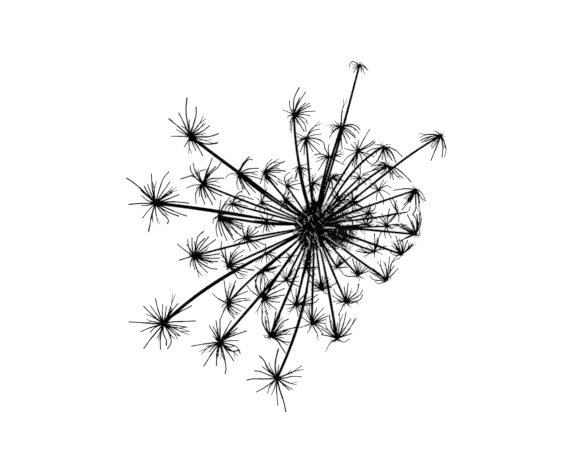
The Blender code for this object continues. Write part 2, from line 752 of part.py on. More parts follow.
def add_stalk(parts, pieces, space):
    """The hub with the stub of the stalk, cut off flat where it meets the table."""
    outline = []
    for step in range(HUB_ARC_STEPS + 1):
        angle = HUB_LOWEST_ANGLE * step / HUB_ARC_STEPS
        outline.append((HUB_RADIUS * math.sin(angle), HUB_RADIUS * math.cos(angle)))
    outline += [(STALK_RADIUS, -HUB_WAIST_DROP), (0, -HUB_WAIST_DROP)]
    body = turned_body("stalk", outline, HUB, parts)
    lowest_drop = (HUB_HEIGHT + STUB_PAST_TABLE) / AXIS.z
    drops = np.linspace(STUB_ROOT_DROP, lowest_drop, STUB_POINTS)
    path = [stub_point(float(drop)) for drop in drops]
    tube_along("stub", path, STALK_RADIUS, STUB_ROUNDING, pieces)
    fuse(body, pieces)
    cut = bmesh.new()
    cut.from_mesh(body.data)
    everything = cut.verts[:] + cut.edges[:] + cut.faces[:]
    bmesh.ops.bisect_plane(cut, geom=everything, plane_co=(0, 0, 0), plane_no=UP, clear_inner=True)
    bmesh.ops.holes_fill(cut, edges=[edge for edge in cut.edges if edge.is_boundary])
    cut.to_mesh(body.data)
    cut.free()
    space.fill(HUB, HUB, HUB_RADIUS, STALK_OWNER)
    space.fill_path(path, STALK_RADIUS, STALK_OWNER)
    return body


def bract_path(index, ring_centre, draw):
    """Points of a bract that leaves the ring outwards and hangs back along the stalk, down to the table."""
    bearing = 2 * math.pi * index / BRACT_COUNT + draw.uniform(-BRACT_TURN_DRAW, BRACT_TURN_DRAW)
    outward = Matrix.Rotation(bearing, 3, AXIS) @ AXIS.orthogonal().normalized()
    start = ring_centre + outward * (RING_RADIUS - BRACT_ROOT_DEPTH)
    reach = BRACT_REACH * (1 + draw.uniform(-BRACT_DRAW, BRACT_DRAW))
    drop = BRACT_DROP * (1 + draw.uniform(-BRACT_DRAW, BRACT_DRAW))
    path = []
    for share in BRACT_POINT_SHARES:
        point = start + outward * (reach * share) - AXIS * (drop * share**2)
        point.z = max(point.z, BRACT_RADIUS)
        path.append(point)
    return path


def add_involucre(parts, pieces, space, draw):
    """The whorl of bracts: a ring round the stalk with feather-like bracts, each a rib with side threads."""
    ring_centre = stub_point(RING_DROP)
    inner = STALK_RADIUS + SEAT_GAP
    half = RING_HEIGHT / 2
    outline = [(inner, half), (RING_RADIUS, half), (RING_RADIUS, -half), (inner, -half), (inner, half)]
    body = turned_body("involucre", outline, ring_centre, parts)
    for index in range(BRACT_COUNT):
        path = bract_path(index, ring_centre, draw)
        tube_along("bract", path, BRACT_RADIUS, BRACT_ROUNDING, pieces)
        space.fill_path(path, BRACT_RADIUS, INVOLUCRE_OWNER)
        for one, two in zip(path[1:], path[2:]):
            root = one.lerp(two, 0.5)
            along = (two - one).normalized()
            for side in (-1, 1):
                across = along.cross(UP).normalized() * side
                length = THREAD_LENGTH * draw.uniform(*THREAD_LENGTH_SHARES)
                tip = root + (along + across).normalized() * length
                tip.z = max(tip.z, THREAD_ROOT_RADIUS)
                add_needle(root, tip, THREAD_ROOT_RADIUS, THREAD_TIP_RADIUS, pieces)
                space.fill(root, tip, THREAD_ROOT_RADIUS, INVOLUCRE_OWNER)
    fuse(body, pieces)
    return body


def add_sprays(parts, pieces, space, draw):
    """Every ray with its little umbel, each a node of its own that touches no other."""
    pixels = [row[:2] for row in SPRAYS]
    radii = [row[2] / 2 * PIXEL for row in SPRAYS]
    ends = [end_of_ray(pixel, draw) for pixel in pixels]
    paths = [
        ray_path(way, end, RAY_BENDS.get(pixel), draw)
        for way, end, pixel in zip(spread_feet(ends, radii), ends, pixels)
    ]
    paths = part_rays(paths, radii)
    for number, (path, radius) in enumerate(zip(paths, radii)):
        space.fill_path(path, radius, number)
        space.fill(path[-1], path[-1], KNOT_RADIUS, number)
    lengths = [row[3] * PIXEL for row in SPRAYS]
    facings = [facing_of(*row[4:]) for row in SPRAYS]
    counts = [round(PEDICEL_BASE_COUNT + PEDICELS_PER_METRE * length) for length in lengths]
    tips_of = [stand_pedicels(number, *each, space) for number, each in enumerate(zip(pixels, ends))]
    for number, tips in enumerate(tips_of):
        wanted = counts[number] - len(tips)
        each = (pixels[number], ends[number], lengths[number], facings[number], wanted)
        tips += pedicels_read(number, *each, space, draw)
    made = []
    for number, (row, path) in enumerate(zip(SPRAYS, paths)):
        spread = OPEN_SPREAD + (SIDE_SPREAD - OPEN_SPREAD) * row[5] / 90
        tips = tips_of[number]
        missing = counts[number] - len(tips)
        each = (path, lengths[number], facings[number], spread, missing)
        tips += draw_pedicels(number, *each, space, draw)
        name = f"ray_spray_{number + 1:02d}"
        made.append(add_spray(name, path, radii[number], tips, parts, pieces))
    return made


def centre_on_table(parts):
    """Moves the head so that the middle of its box's underside is the origin."""
    corners = np.array([tuple(vertex.co) for made in parts.objects for vertex in made.data.vertices])
    low = corners.min(axis=0)
    high = corners.max(axis=0)
    middle = Vector(((low[0] + high[0]) / 2, (low[1] + high[1]) / 2, low[2]))
    for made in parts.objects:
        made.data.transform(Matrix.Translation(-middle))


def build():
    clear_scene()
    parts = bpy.data.collections.new("queen_annes_lace_head")
    pieces = bpy.data.collections.new("pieces_to_fuse")
    bpy.context.scene.collection.children.link(parts)
    bpy.context.scene.collection.children.link(pieces)
    draw = random.Random(SEED)
    space = Space()
    give_material(
        add_stalk(parts, pieces, space),
        dried_material("dried_stalk", (0.030, 0.030, 0.030), 0.7),
    )
    give_material(
        add_involucre(parts, pieces, space, draw),
        dried_material("dried_bract", (0.024, 0.024, 0.024), 0.8),
    )
    dried_ray = dried_material("dried_ray", (0.020, 0.020, 0.020), 0.6)
    for spray in add_sprays(parts, pieces, space, draw):
        give_material(spray, dried_ray)
    bpy.data.collections.remove(pieces)
    centre_on_table(parts)
    for made in parts.objects:
        made.data.shade_smooth()
        made.data.set_sharp_from_angle(angle=SHARP_EDGE)


build()
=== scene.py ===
"""Dried flower head of a Queen Anne's lace, lying on a pale table and seen from straight above.

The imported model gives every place: its nodes stay for the physics, and the finer pieces made here are laid
on the same lines. Metres, +Z up; +X is the photograph's right and +Y its top.
"""

import math
import random

import bmesh
import bpy
import numpy as np
from mathutils import Matrix, Vector
from mathutils.geometry import interpolate_bezier


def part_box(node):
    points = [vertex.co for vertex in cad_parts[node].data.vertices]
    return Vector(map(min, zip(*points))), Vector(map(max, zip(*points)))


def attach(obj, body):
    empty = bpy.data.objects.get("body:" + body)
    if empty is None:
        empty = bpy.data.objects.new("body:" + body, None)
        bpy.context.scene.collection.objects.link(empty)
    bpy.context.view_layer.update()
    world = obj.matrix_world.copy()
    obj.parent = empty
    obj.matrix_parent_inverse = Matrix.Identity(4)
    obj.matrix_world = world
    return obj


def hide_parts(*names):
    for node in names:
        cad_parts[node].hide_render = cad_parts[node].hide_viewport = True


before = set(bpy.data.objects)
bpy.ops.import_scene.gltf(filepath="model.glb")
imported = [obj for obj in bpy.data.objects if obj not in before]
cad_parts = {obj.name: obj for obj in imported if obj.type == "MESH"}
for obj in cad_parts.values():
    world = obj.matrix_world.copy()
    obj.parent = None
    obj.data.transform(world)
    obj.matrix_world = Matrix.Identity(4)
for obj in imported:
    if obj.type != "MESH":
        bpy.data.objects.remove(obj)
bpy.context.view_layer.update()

# Stalk: the top of a wild carrot's stem, cut on the slant under the head, and the domed hub that all the
# rays grow from. It dried as one furrowed, bristly stem, charcoal dark, round a paler pith.

MM = 0.001
PACKED_HUB_RADIUS = 5 * MM
STALK_LOWEST, STALK_HIGHEST = (Vector(corner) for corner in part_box("stalk"))
HUB = Vector((STALK_LOWEST.x, STALK_HIGHEST.y, STALK_HIGHEST.z)) + Vector((1, -1, -1)) * PACKED_HUB_RADIUS
AXIS_LEAN = math.radians(28)
LEAN_BEARING = math.radians(182)
AXIS = Vector((math.cos(LEAN_BEARING), math.sin(LEAN_BEARING), 0)) * math.sin(AXIS_LEAN)
AXIS.z = math.cos(AXIS_LEAN)
AXIS_TURN = AXIS.to_track_quat("Z", "Y").to_matrix().to_4x4()

HUB_RADIUS = 3.9 * MM
HUB_SEGMENTS = 48
HUB_RINGS = 28
HUB_LOWEST = -1.9 * MM
# The dome is so many times as long along the photograph's height as across, from this height over its middle
HUB_LENGTHENING = 1.3
DOME_LOWEST = HUB_LOWEST + 0.4 * MM
# The stalk under the dome, ring by ring: height over the hub's middle, and radius
STALK_RINGS = [(-2.6, 3.2), (-3.4, 2.75), (-4.6, 2.35), (-6.2, 2.2), (-8, 2.1), (-10, 2.1), (-12, 2.15)]
STALK_RINGS += [(-14, 2.1), (-16, 2.15), (-18.5, 2.1)]
FURROW_EVERY = 4
FURROW_SHARE = 0.88
WRINKLE_SIZE = 1.1 * MM
WRINKLE_DEPTH = 0.35 * MM
STUB_ROOT_DROP = 2 * MM
STUB_DRIFT = Vector((1.2, -2.8, 0)) * MM
# The cut end: how wide the rind is round the pith, and how far the pith has shrunk into it
RIND = 0.45 * MM
PITH_DEPTH = 0.35 * MM
PITH_CELL = 0.15 * MM

RIND_HOLLOW = "#030303"
RIND_RIDGE = "#121212"
PITH_DARK = "#1c1b1a"
PITH_LIGHT = "#3a3836"


def linear(code):
    """An sRGB hex colour as the linear colour that a node takes."""
    shares = [int(code[place : place + 2], 16) / 255 for place in (1, 3, 5)]
    return (*(s / 12.92 if s <= 0.04045 else ((s + 0.055) / 1.055) ** 2.4 for s in shares), 1)


def add_node(material, kind, settings=None, inputs=None, links=None):
    """Adds a node to the material: its settings, its sockets' values, and what each socket is linked to."""
    node = material.node_tree.nodes.new(kind)
    for name, value in (settings or {}).items():
        setattr(node, name, value)
    for name, value in (inputs or {}).items():
        node.inputs[name].default_value = value
    for name, (source, output) in (links or {}).items():
        material.node_tree.links.new(source.outputs[output], node.inputs[name])
    return node


def new_material(name):
    material = bpy.data.materials.new(name)
    material.use_nodes = True
    material.node_tree.nodes.clear()
    return material


def dried_skin(name, coordinates, streak, hollow, ridge, roughness, bump_height):
    """A dried stem's skin: fine streaks along it and soft blotches, matt, and a little smoother in places.
    Its colour runs from the hollow colour in the furrows of the streaks to the ridge colour on their ridges,
    so on top of the streaked and blotched tone it carries painted shade in the furrows and a painted
    highlight on the ridges.
    """
    material = new_material(name)
    place = add_node(material, "ShaderNodeTexCoord")
    stretch = add_node(
        material, "ShaderNodeMapping", inputs={"Scale": streak}, links={"Vector": (place, coordinates)}
    )
    streaks = add_node(
        material,
        "ShaderNodeTexNoise",
        inputs={"Scale": 1, "Detail": 4, "Roughness": 0.6},
        links={"Vector": (stretch, "Vector")},
    )
    blotches = add_node(
        material,
        "ShaderNodeTexNoise",
        inputs={"Scale": 0.35 / MM, "Detail": 3, "Roughness": 0.55},
        links={"Vector": (place, "Object")},
    )
    mixed = add_node(
        material,
        "ShaderNodeMath",
        {"operation": "MULTIPLY_ADD"},
        {1: 0.6},
        {0: (streaks, "Fac"), 2: (blotches, "Fac")},
    )
    # Painted shade in the furrows and painted highlight on the ridges, over the streaked and blotched tone
    tint = add_node(material, "ShaderNodeValToRGB", links={"Fac": (mixed, "Value")})
    tint.color_ramp.elements[0].position = 0.55
    tint.color_ramp.elements[0].color = linear(hollow)
    tint.color_ramp.elements[1].position = 1.05
    tint.color_ramp.elements[1].color = linear(ridge)
    gloss = add_node(
        material,
        "ShaderNodeMapRange",
        inputs={"From Min": 0.3, "From Max": 0.7, "To Min": roughness - 0.08, "To Max": roughness + 0.12},
        links={"Value": (blotches, "Fac")},
    )
    relief = add_node(
        material,
        "ShaderNodeBump",
        inputs={"Strength": 0.7, "Distance": bump_height},
        links={"Height": (streaks, "Fac")},
    )
    surface = add_node(
        material,
        "ShaderNodeBsdfPrincipled",
        inputs={"IOR": 1.4, "Specular IOR Level": 0.006},
        links={
            "Base Color": (tint, "Color"),
            "Roughness": (gloss, "Result"),
            "Normal": (relief, "Normal"),
        },
    )
    add_node(material, "ShaderNodeOutputMaterial", links={"Surface": (surface, "BSDF")})
    return material


# Stem rind, dried outdoors: hard and matt, its furrows lie some 0.4 mm apart
dried_rind = dried_skin(
    "dried_rind", "Object", (2.2 / MM, 2.2 / MM, 0.5 / MM), RIND_HOLLOW, RIND_RIDGE, 0.55, 0.08 * MM
)


def dry_pith(name):
    """Stem pith where it is cut: a spongy foam of cells some 0.15 mm wide, with no gloss at all."""
    material = new_material(name)
    place = add_node(material, "ShaderNodeTexCoord")
    cells = add_node(
        material,
        "ShaderNodeTexVoronoi",
        inputs={"Scale": 1 / PITH_CELL},
        links={"Vector": (place, "Object")},
    )
    tint = add_node(material, "ShaderNodeValToRGB", links={"Fac": (cells, "Distance")})
    tint.color_ramp.elements[0].color = linear(PITH_LIGHT)
    tint.color_ramp.elements[1].color = linear(PITH_DARK)
    relief = add_node(
        material,
        "ShaderNodeBump",
        inputs={"Strength": 0.8, "Distance": 0.06 * MM},
        links={"Height": (cells, "Distance")},
    )
    surface = add_node(
        material,
        "ShaderNodeBsdfPrincipled",
        inputs={"IOR": 1.4, "Specular IOR Level": 0.1, "Roughness": 0.9},
        links={"Base Color": (tint, "Color"), "Normal": (relief, "Normal")},
    )
    add_node(material, "ShaderNodeOutputMaterial", links={"Surface": (surface, "BSDF")})
    return material


def pick(made, wanted):
    """Selects the corners of the object in edit mode that are wanted, and nothing else."""
    bpy.ops.mesh.select_mode(type="VERT")
    bpy.ops.mesh.select_all(action="DESELECT")
    shape = bmesh.from_edit_mesh(made.data)
    for corner in shape.verts:
        corner.select = wanted(corner)
    shape.select_flush(True)
    bmesh.update_edit_mesh(made.data)


def column_of(place, columns):
    """The column of a round stem that a place is in, counted round its axis."""
    return round(math.atan2(place.y, place.x) / (2 * math.pi) * columns) % columns


def settle(made):
    """Puts the object's place into its mesh, so that the object is at the origin, unturned and unscaled."""
    bpy.ops.object.select_all(action="DESELECT")
    made.select_set(True)
    bpy.context.view_layer.objects.active = made
    bpy.ops.object.transform_apply(location=True, rotation=True, scale=True)


bpy.ops.object.select_all(action="DESELECT")
bpy.ops.mesh.primitive_uv_sphere_add(segments=HUB_SEGMENTS, ring_count=HUB_RINGS, radius=HUB_RADIUS)
stalk = bpy.context.object
stalk.name = "furrowed_stalk"
bpy.ops.object.mode_set(mode="EDIT")
pick(stalk, lambda corner: corner.co.z < HUB_LOWEST)
bpy.ops.mesh.delete(type="VERT")
pick(stalk, lambda corner: corner.is_boundary)
edge_ring = [corner.co for corner in bmesh.from_edit_mesh(stalk.data).verts if corner.is_boundary]
height = edge_ring[0].z
radius = edge_ring[0].xy.length
for next_height, next_radius in STALK_RINGS:
    bpy.ops.mesh.extrude_region_move(
        TRANSFORM_OT_translate={"value": (0, 0, next_height * MM - height)}
    )
    share = next_radius * MM / radius
    bpy.ops.transform.resize(value=(share, share, 1), center_override=(0, 0, next_height * MM))
    height = next_height * MM
    radius = next_radius * MM
bpy.ops.mesh.edge_face_add()
pick(
    stalk,
    lambda corner: corner.co.z < STALK_RINGS[0][0] * MM
    and column_of(corner.co, HUB_SEGMENTS) % FURROW_EVERY == 0,
)
bpy.ops.transform.resize(value=(FURROW_SHARE, FURROW_SHARE, 1), center_override=(0, 0, 0))
pick(stalk, lambda corner: corner.co.z > DOME_LOWEST)
bpy.ops.transform.resize(value=(1, HUB_LENGTHENING, 1), center_override=(0, 0, 0))
bpy.ops.mesh.select_all(action="SELECT")
bpy.ops.mesh.normals_make_consistent(inside=False)
bpy.ops.object.mode_set(mode="OBJECT")

# Drying wrinkled the skin, most of all on the dome
wrinkles = bpy.data.textures.new("wrinkles", "CLOUDS")
wrinkles.noise_scale = WRINKLE_SIZE
wrinkles.noise_depth = 2
finer = stalk.modifiers.new("finer", "SUBSURF")
finer.levels = 1
finer.render_levels = 1
bpy.ops.object.modifier_apply(modifier=finer.name)
wrinkled = stalk.modifiers.new("wrinkled", "DISPLACE")
wrinkled.texture = wrinkles
wrinkled.strength = WRINKLE_DEPTH
wrinkled.mid_level = 0.5
bpy.ops.object.modifier_apply(modifier=wrinkled.name)

# It leans as the head lies, drifts a little to one side on its way down, and is cut off at the table
stalk.matrix_world = Matrix.Translation(HUB) @ AXIS_TURN
settle(stalk)
STUB_LENGTH = HUB.z / AXIS.z - STUB_ROOT_DROP


def drift(drop):
    """How far the stub has moved to its side, this far below the hub along the axis."""
    return STUB_DRIFT * (max(0, drop - STUB_ROOT_DROP) / STUB_LENGTH) ** 2


for corner in stalk.data.vertices:
    corner.co += drift((HUB - corner.co).dot(AXIS))
bpy.ops.object.mode_set(mode="EDIT")
bpy.ops.mesh.select_all(action="SELECT")
bpy.ops.mesh.bisect(plane_co=(0, 0, 0), plane_no=(0, 0, 1), clear_inner=True, use_fill=True)
bpy.ops.mesh.inset(thickness=RIND)
bpy.ops.transform.translate(value=(0, 0, PITH_DEPTH))
bpy.ops.object.mode_set(mode="OBJECT")
stalk.data.materials.append(dried_rind)
stalk.data.materials.append(dry_pith("dry_pith"))
for face in stalk.data.polygons:
    if face.normal.z < -0.9 and face.center.z < 1.5 * PITH_DEPTH:
        face.material_index = 1
bpy.ops.object.shade_smooth_by_angle(angle=math.radians(50))


# Hub stumps, curls and bristles: dry stumps of rays that never grew out stand between the feet of the others,
# shrivelled threads curl on the hub and the stub, and stiff bristles stand out from the stalk. They grew with
# the stalk, so they are part of its piece.

# A pixel of the photograph on the object, and the hub's middle in the photograph
PIXEL = 0.3 * MM
HUB_PIXEL = (314, 226)

STUMP_COUNT = 400
STUMP_LENGTHS = (1.6 * MM, 3.4 * MM)
STUMP_RADII = (0.09 * MM, 0.18 * MM)
STUMP_SPREAD = math.radians(104)
STUMP_ROOT_DEPTH = 0.3 * MM
# How much a stump strays from straight out, and how much it bends
STUMP_STRAY = 0.45
STUMP_BEND = 0.75
GOLDEN_ANGLE = math.pi * (3 - math.sqrt(5))
# How much of its length a stump keeps towards the photograph's left and right, and gains towards its bottom
STUMP_SIDE_SHARE = 0.35
STUMP_LOWER_GAIN = 0.3
# How many have the plain skin and how many the white-ridged skin of painted highlights, of the stumps and of
# the curls
STUMP_SHARES = (9, 1)
CURL_SHARES = (4, 1)
# Curls: thin shrivelled hooks on the hub and on the stub, by their bend's radius, thickness and turn
HUB_CURLS = 260
HUB_CURL_REACH = (3.8 * MM, 5.4 * MM)
HUB_CURL_STRETCH = 1.2 * MM
STUB_CURLS = 260
STUB_CURL_DROP = (5 * MM, 17.5 * MM)
STUB_CURL_START = (1.9 * MM, 2.6 * MM)
CURL_BENDS = (0.45 * MM, 1.1 * MM)
CURL_RADII = (0.09 * MM, 0.15 * MM)
CURL_TURNS = (1.6, 3.8)
# Loose ends on the hub and between the rays, in the white-ridged skin of painted highlights, read in the
# photograph: height over the hub's middle, radius, and pixels along each, x and y in turn
HUB_GLINT_STRAWS = [
    (6 * MM, 0.17 * MM, (296, 220, 299, 223, 302.5, 226.5)),
    (6 * MM, 0.2 * MM, (325, 216.8, 329.5, 214)),
    (6 * MM, 0.13 * MM, (322.5, 244, 324.3, 241.3, 327, 243, 330.5, 247)),
    (6 * MM, 0.15 * MM, (309.8, 240.5, 309.3, 246, 309, 252)),
    (6 * MM, 0.15 * MM, (310, 232, 312.5, 235)),
    (6 * MM, 0.13 * MM, (318, 220, 321, 223.5)),
    (6 * MM, 0.15 * MM, (306, 236, 309, 240)),
    (13 * MM, 0.27 * MM, (325, 227.2, 330, 227.4, 336, 227.6)),
    (13 * MM, 0.19 * MM, (322.3, 211.8, 325.5, 207.5, 329.1, 201.8)),
]
STRAW_FOOT = 3.5 * MM
BRISTLE_COUNT = 90
BRISTLE_DROP = (5 * MM, 12.5 * MM)
BRISTLE_START = 1.9 * MM
BRISTLE_LENGTHS = (0.5 * MM, 1.2 * MM)
BRISTLE_RADIUS = 0.07 * MM
# Rings of a stump and of a bristle: height and radius, both as shares
STUMP_RINGS = [(0, 1.3), (0.2, 1), (0.4, 0.9), (0.6, 0.85), (0.8, 0.8), (0.93, 0.75), (1, 0.35)]
BRISTLE_RINGS = [(0, 1), (0.5, 0.7), (1, 0.15)]

GLINT_SKIN_HOLLOW = "#101010"
GLINT_SKIN_RIDGE = "#ffffff"

# The same rind with white ridges to its streaks: painted highlights, the glints on some stumps, curls and
# loose ends
glint_rind = dried_skin(
    "glint_rind", "UV", (2.5, 0.5, 1), GLINT_SKIN_HOLLOW, GLINT_SKIN_RIDGE, 0.5, 0.05 * MM
)

draw = random.Random(23)


def drawn_out(name, sides, rings):
    """A stem drawn out upwards from a flat end, ring by ring. A ring is a height and a radius."""
    bpy.ops.object.select_all(action="DESELECT")
    height, radius = rings[0]
    bpy.ops.mesh.primitive_circle_add(vertices=sides, radius=radius, fill_type="NGON")
    stem = bpy.context.object
    stem.name = name
    bpy.ops.object.mode_set(mode="EDIT")
    bpy.ops.mesh.select_all(action="SELECT")
    for next_height, next_radius in rings[1:]:
        bpy.ops.mesh.extrude_region_move(
            TRANSFORM_OT_translate={"value": (0, 0, next_height - height)}
        )
        share = next_radius / radius
        bpy.ops.transform.resize(value=(share, share, 1), center_override=(0, 0, next_height))
        height, radius = next_height, next_radius
    bpy.ops.mesh.select_all(action="SELECT")
    bpy.ops.mesh.normals_make_consistent(inside=False)
    bpy.ops.object.mode_set(mode="OBJECT")
    bpy.ops.object.shade_smooth()
    unroll(stem)
    return stem


def unroll(stem):
    """Unrolls the stem's skin into its UV map: round it from 0 to 1 and along it from 0 to 1."""
    if not stem.data.uv_layers:
        stem.data.uv_layers.new(name="UVMap")
    flat = stem.data.uv_layers.active.data
    for face in stem.data.polygons:
        middle = math.atan2(face.center.y, face.center.x)
        for loop in face.loop_indices:
            place = stem.data.vertices[stem.data.loops[loop].vertex_index].co
            off = (math.atan2(place.y, place.x) - middle + math.pi) % (2 * math.pi) - math.pi
            flat[loop].uv = ((middle + off) / (2 * math.pi), place.z)


def laid_along(model, line, widths, turn=0):
    """A copy of a model that stands from 0 to 1 along Z, laid along a line of points. Its radius is 1 before;
    the widths are evenly spread along it."""
    line = np.array([tuple(point) for point in line])
    steps = np.linalg.norm(np.diff(line, axis=0), axis=1)
    length = steps.sum()
    shares = np.concatenate(([0], np.cumsum(steps))) / length
    ways = np.gradient(line, shares, axis=0)
    ways /= np.linalg.norm(ways, axis=1)[:, None]
    side = np.array(Vector(ways[0]).orthogonal().normalized())
    sides = []
    for way in ways:
        side = side - way * side.dot(way)
        side = side / np.linalg.norm(side)
        sides.append(side)
    sides = np.array(sides)
    others = np.cross(ways, sides)
    copy = model.copy()
    copy.data = model.data.copy()
    bpy.context.scene.collection.objects.link(copy)
    places = np.empty(len(copy.data.vertices) * 3)
    copy.data.vertices.foreach_get("co", places)
    across, up, along = places.reshape(-1, 3).T
    at = [np.interp(along, shares, part) for part in (*line.T, *sides.T, *others.T)]
    centre, one, two = (np.array(at[start : start + 3]).T for start in (0, 3, 6))
    width = np.interp(along, np.linspace(0, 1, len(widths)), widths)
    turned = (across * math.cos(turn) - up * math.sin(turn)) * width
    lifted = (across * math.sin(turn) + up * math.cos(turn)) * width
    places = centre + one * turned[:, None] + two * lifted[:, None]
    places[:, 2] = np.maximum(places[:, 2], 0)
    copy.data.vertices.foreach_set("co", places.ravel())
    skin = copy.data.uv_layers.active.data
    flat = np.empty(len(skin) * 2)
    skin.foreach_get("uv", flat)
    flat = flat.reshape(-1, 2) * (2 * math.pi * max(widths) / MM, length / MM)
    skin.foreach_set("uv", flat.ravel())
    copy.data.update()
    return copy


def joined(name, parts):
    """The parts as one object."""
    bpy.ops.object.select_all(action="DESELECT")
    for part in parts:
        part.select_set(True)
    bpy.context.view_layer.objects.active = parts[0]
    bpy.ops.object.join()
    whole = bpy.context.object
    whole.name = name
    whole.data.name = name
    return whole


def spun(way, round_way, angle):
    """The way turned round another by an angle."""
    return Matrix.Rotation(angle, 3, round_way) @ way


def curl_line(start, way, draw):
    """A hook that leaves its start along the way and bends round, more or less in one plane."""
    bend = draw.uniform(*CURL_BENDS)
    side = way.cross(Vector([draw.uniform(-1, 1) for _ in range(3)])).normalized()
    turn = draw.uniform(*CURL_TURNS)
    line = []
    for step in range(9):
        angle = turn * step / 8
        line.append(start + (way * math.sin(angle) + side * (1 - math.cos(angle))) * bend)
    return line


def over(x, y):
    """The place on the table under a pixel of the photograph."""
    return HUB.xy + Vector((x - HUB_PIXEL[0], HUB_PIXEL[1] - y)) * PIXEL


def curve_through(points, steps):
    """A smooth line through the points, in so many steps between each two."""
    ways = [points[1] - points[0]]
    ways += [(after - before) / 2 for before, after in zip(points, points[2:])]
    ways.append(points[-1] - points[-2])
    line = [points[0]]
    for start, end, way, next_way in zip(points, points[1:], ways, ways[1:]):
        line += interpolate_bezier(start, start + way / 3, end - next_way / 3, end, steps + 1)[1:]
    return line


def straw_line(pixels, height):
    """A loose end over the points read in the photograph, which stands up from under the first of them."""
    flat = [over(*pixels[place : place + 2]) for place in range(0, len(pixels), 2)]
    points = [Vector((*flat[0], max(0.3 * MM, height - STRAW_FOOT)))]
    points += [Vector((*place, height)) for place in flat]
    return curve_through(points, 4)


# The second stump model wears the white-ridged skin of painted highlights
stumps = [drawn_out("stump", 6, STUMP_RINGS), drawn_out("glint_stump", 6, STUMP_RINGS)]
bristle = drawn_out("bristle", 3, BRISTLE_RINGS)
for model in (stumps[0], bristle):
    model.data.materials.append(dried_rind)
stumps[1].data.materials.append(glint_rind)
stump_parts = [stalk]
across_axis = AXIS.orthogonal().normalized()
for index in range(STUMP_COUNT):
    tilt = math.acos(1 - (index + 0.5) / STUMP_COUNT * (1 - math.cos(STUMP_SPREAD)))
    around = spun(across_axis, AXIS, index * GOLDEN_ANGLE)
    way = AXIS * math.cos(tilt) + around * math.sin(tilt)
    start = HUB + way * (HUB_RADIUS - STUMP_ROOT_DEPTH)
    start.y += (HUB_LENGTHENING - 1) * HUB_RADIUS * way.y
    loose = Vector([draw.uniform(-1, 1) for _ in range(3)])
    way = (way + loose * STUMP_STRAY).normalized()
    bend = Vector([draw.uniform(-1, 1) for _ in range(3)]) * STUMP_BEND
    length = draw.uniform(*STUMP_LENGTHS) * (1 - (1 - STUMP_SIDE_SHARE) * abs(around.x) * math.sin(tilt))
    length *= 1 - STUMP_LOWER_GAIN * around.y * math.sin(tilt)
    line = [start + way * length * s + bend * length * s**2 for s in (0, 0.2, 0.4, 0.6, 0.8, 1)]
    model = draw.choices(stumps, STUMP_SHARES)[0]
    stump_parts.append(laid_along(model, line, [draw.uniform(*STUMP_RADII)]))
for index in range(HUB_CURLS):
    tilt = math.acos(1 - draw.random() * (1 - math.cos(STUMP_SPREAD)))
    around = spun(across_axis, AXIS, draw.uniform(0, 2 * math.pi))
    way = AXIS * math.cos(tilt) + around * math.sin(tilt)
    reach = draw.uniform(*HUB_CURL_REACH)
    reach += HUB_CURL_STRETCH * draw.random() * abs(around.y) * math.sin(tilt)
    line = curl_line(HUB + way * reach, way, draw)
    model = draw.choices(stumps, CURL_SHARES)[0]
    stump_parts.append(laid_along(model, line, [draw.uniform(*CURL_RADII)]))
for index in range(STUB_CURLS):
    drop = draw.uniform(*STUB_CURL_DROP)
    around = spun(across_axis, AXIS, draw.uniform(0, 2 * math.pi))
    around.z = abs(around.z)
    start = HUB - AXIS * drop + drift(drop) + around * draw.uniform(*STUB_CURL_START)
    line = curl_line(start, (around + AXIS * draw.uniform(-0.8, 0.8)).normalized(), draw)
    model = draw.choices(stumps, CURL_SHARES)[0]
    stump_parts.append(laid_along(model, line, [draw.uniform(*CURL_RADII)]))
# Loose ends in the white-ridged skin: painted highlights on the hub
for rise, radius, pixels in HUB_GLINT_STRAWS:
    stump_parts.append(laid_along(stumps[1], straw_line(pixels, HUB.z + rise), [radius]))
for index in range(BRISTLE_COUNT):
    drop = draw.uniform(*BRISTLE_DROP)
    around = spun(across_axis, AXIS, draw.uniform(0, 2 * math.pi))
    start = HUB - AXIS * drop + drift(drop) + around * BRISTLE_START
    way = (around - AXIS * draw.uniform(-0.3, 0.9)).normalized()
    tip = start + way * draw.uniform(*BRISTLE_LENGTHS)
    tip.z = max(tip.z, BRISTLE_RADIUS)
    stump_parts.append(laid_along(bristle, [start, start.lerp(tip, 0.5), tip], [BRISTLE_RADIUS]))
stalk = joined("furrowed_stalk", stump_parts)
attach(stalk, "root")
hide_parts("stalk")
for model in (*stumps, bristle):
    bpy.data.objects.remove(model)


# Involucre: the whorl of feather-like bracts under the head, grown together into a collar round the stalk.
# Each bract is a flat rib with thin side threads, which curled up and bent back as it dried.

RING_DROP = 7.2 * MM
RING_RADIUS = 3.5 * MM
BRACT_COUNT = 9
BRACT_ROOT_DEPTH = 0.6 * MM
BRACT_REACH = 5 * MM
BRACT_DROP = 11 * MM
BRACT_DRAW = 0.2
BRACT_TURN_DRAW = 0.15
BRACT_WIDTH = 0.42 * MM
# Rings of a bract: height and width, both as shares
BRACT_RINGS = [(0, 2.2), (0.08, 2.1), (0.18, 1.5), (0.3, 1.1), (0.45, 1), (0.6, 0.85), (0.8, 0.6), (1, 0.2)]
BRACT_FLATNESS = 0.45
BRACT_GROOVE = 0.35
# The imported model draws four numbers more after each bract, for its side threads
PACKED_DRAWS = 4
COLLAR_RADIUS = 2.55 * MM
COLLAR_THICKNESS = 0.75 * MM
COLLAR_SEGMENTS = 54
COLLAR_DENT_EVERY = 6
SIDE_THREAD_PAIRS = 8
FIRST_PAIR_STEP = 3
SIDE_THREAD_LENGTH = 3 * MM
SIDE_THREAD_RADIUS = 0.13 * MM
# Its leaflets shrivelled into curls, so many at each of the first steps of a bract, and round the collar
BRACT_CURLS = 6
CURLED_STEPS = 8
COLLAR_CURLS = 90
COLLAR_CURL_START = (2.6 * MM, 3.4 * MM)
THREAD_RINGS = [(0, 1.3), (0.12, 1), (0.3, 0.95), (0.5, 0.85), (0.7, 0.7), (0.85, 0.6), (1, 0.25)]
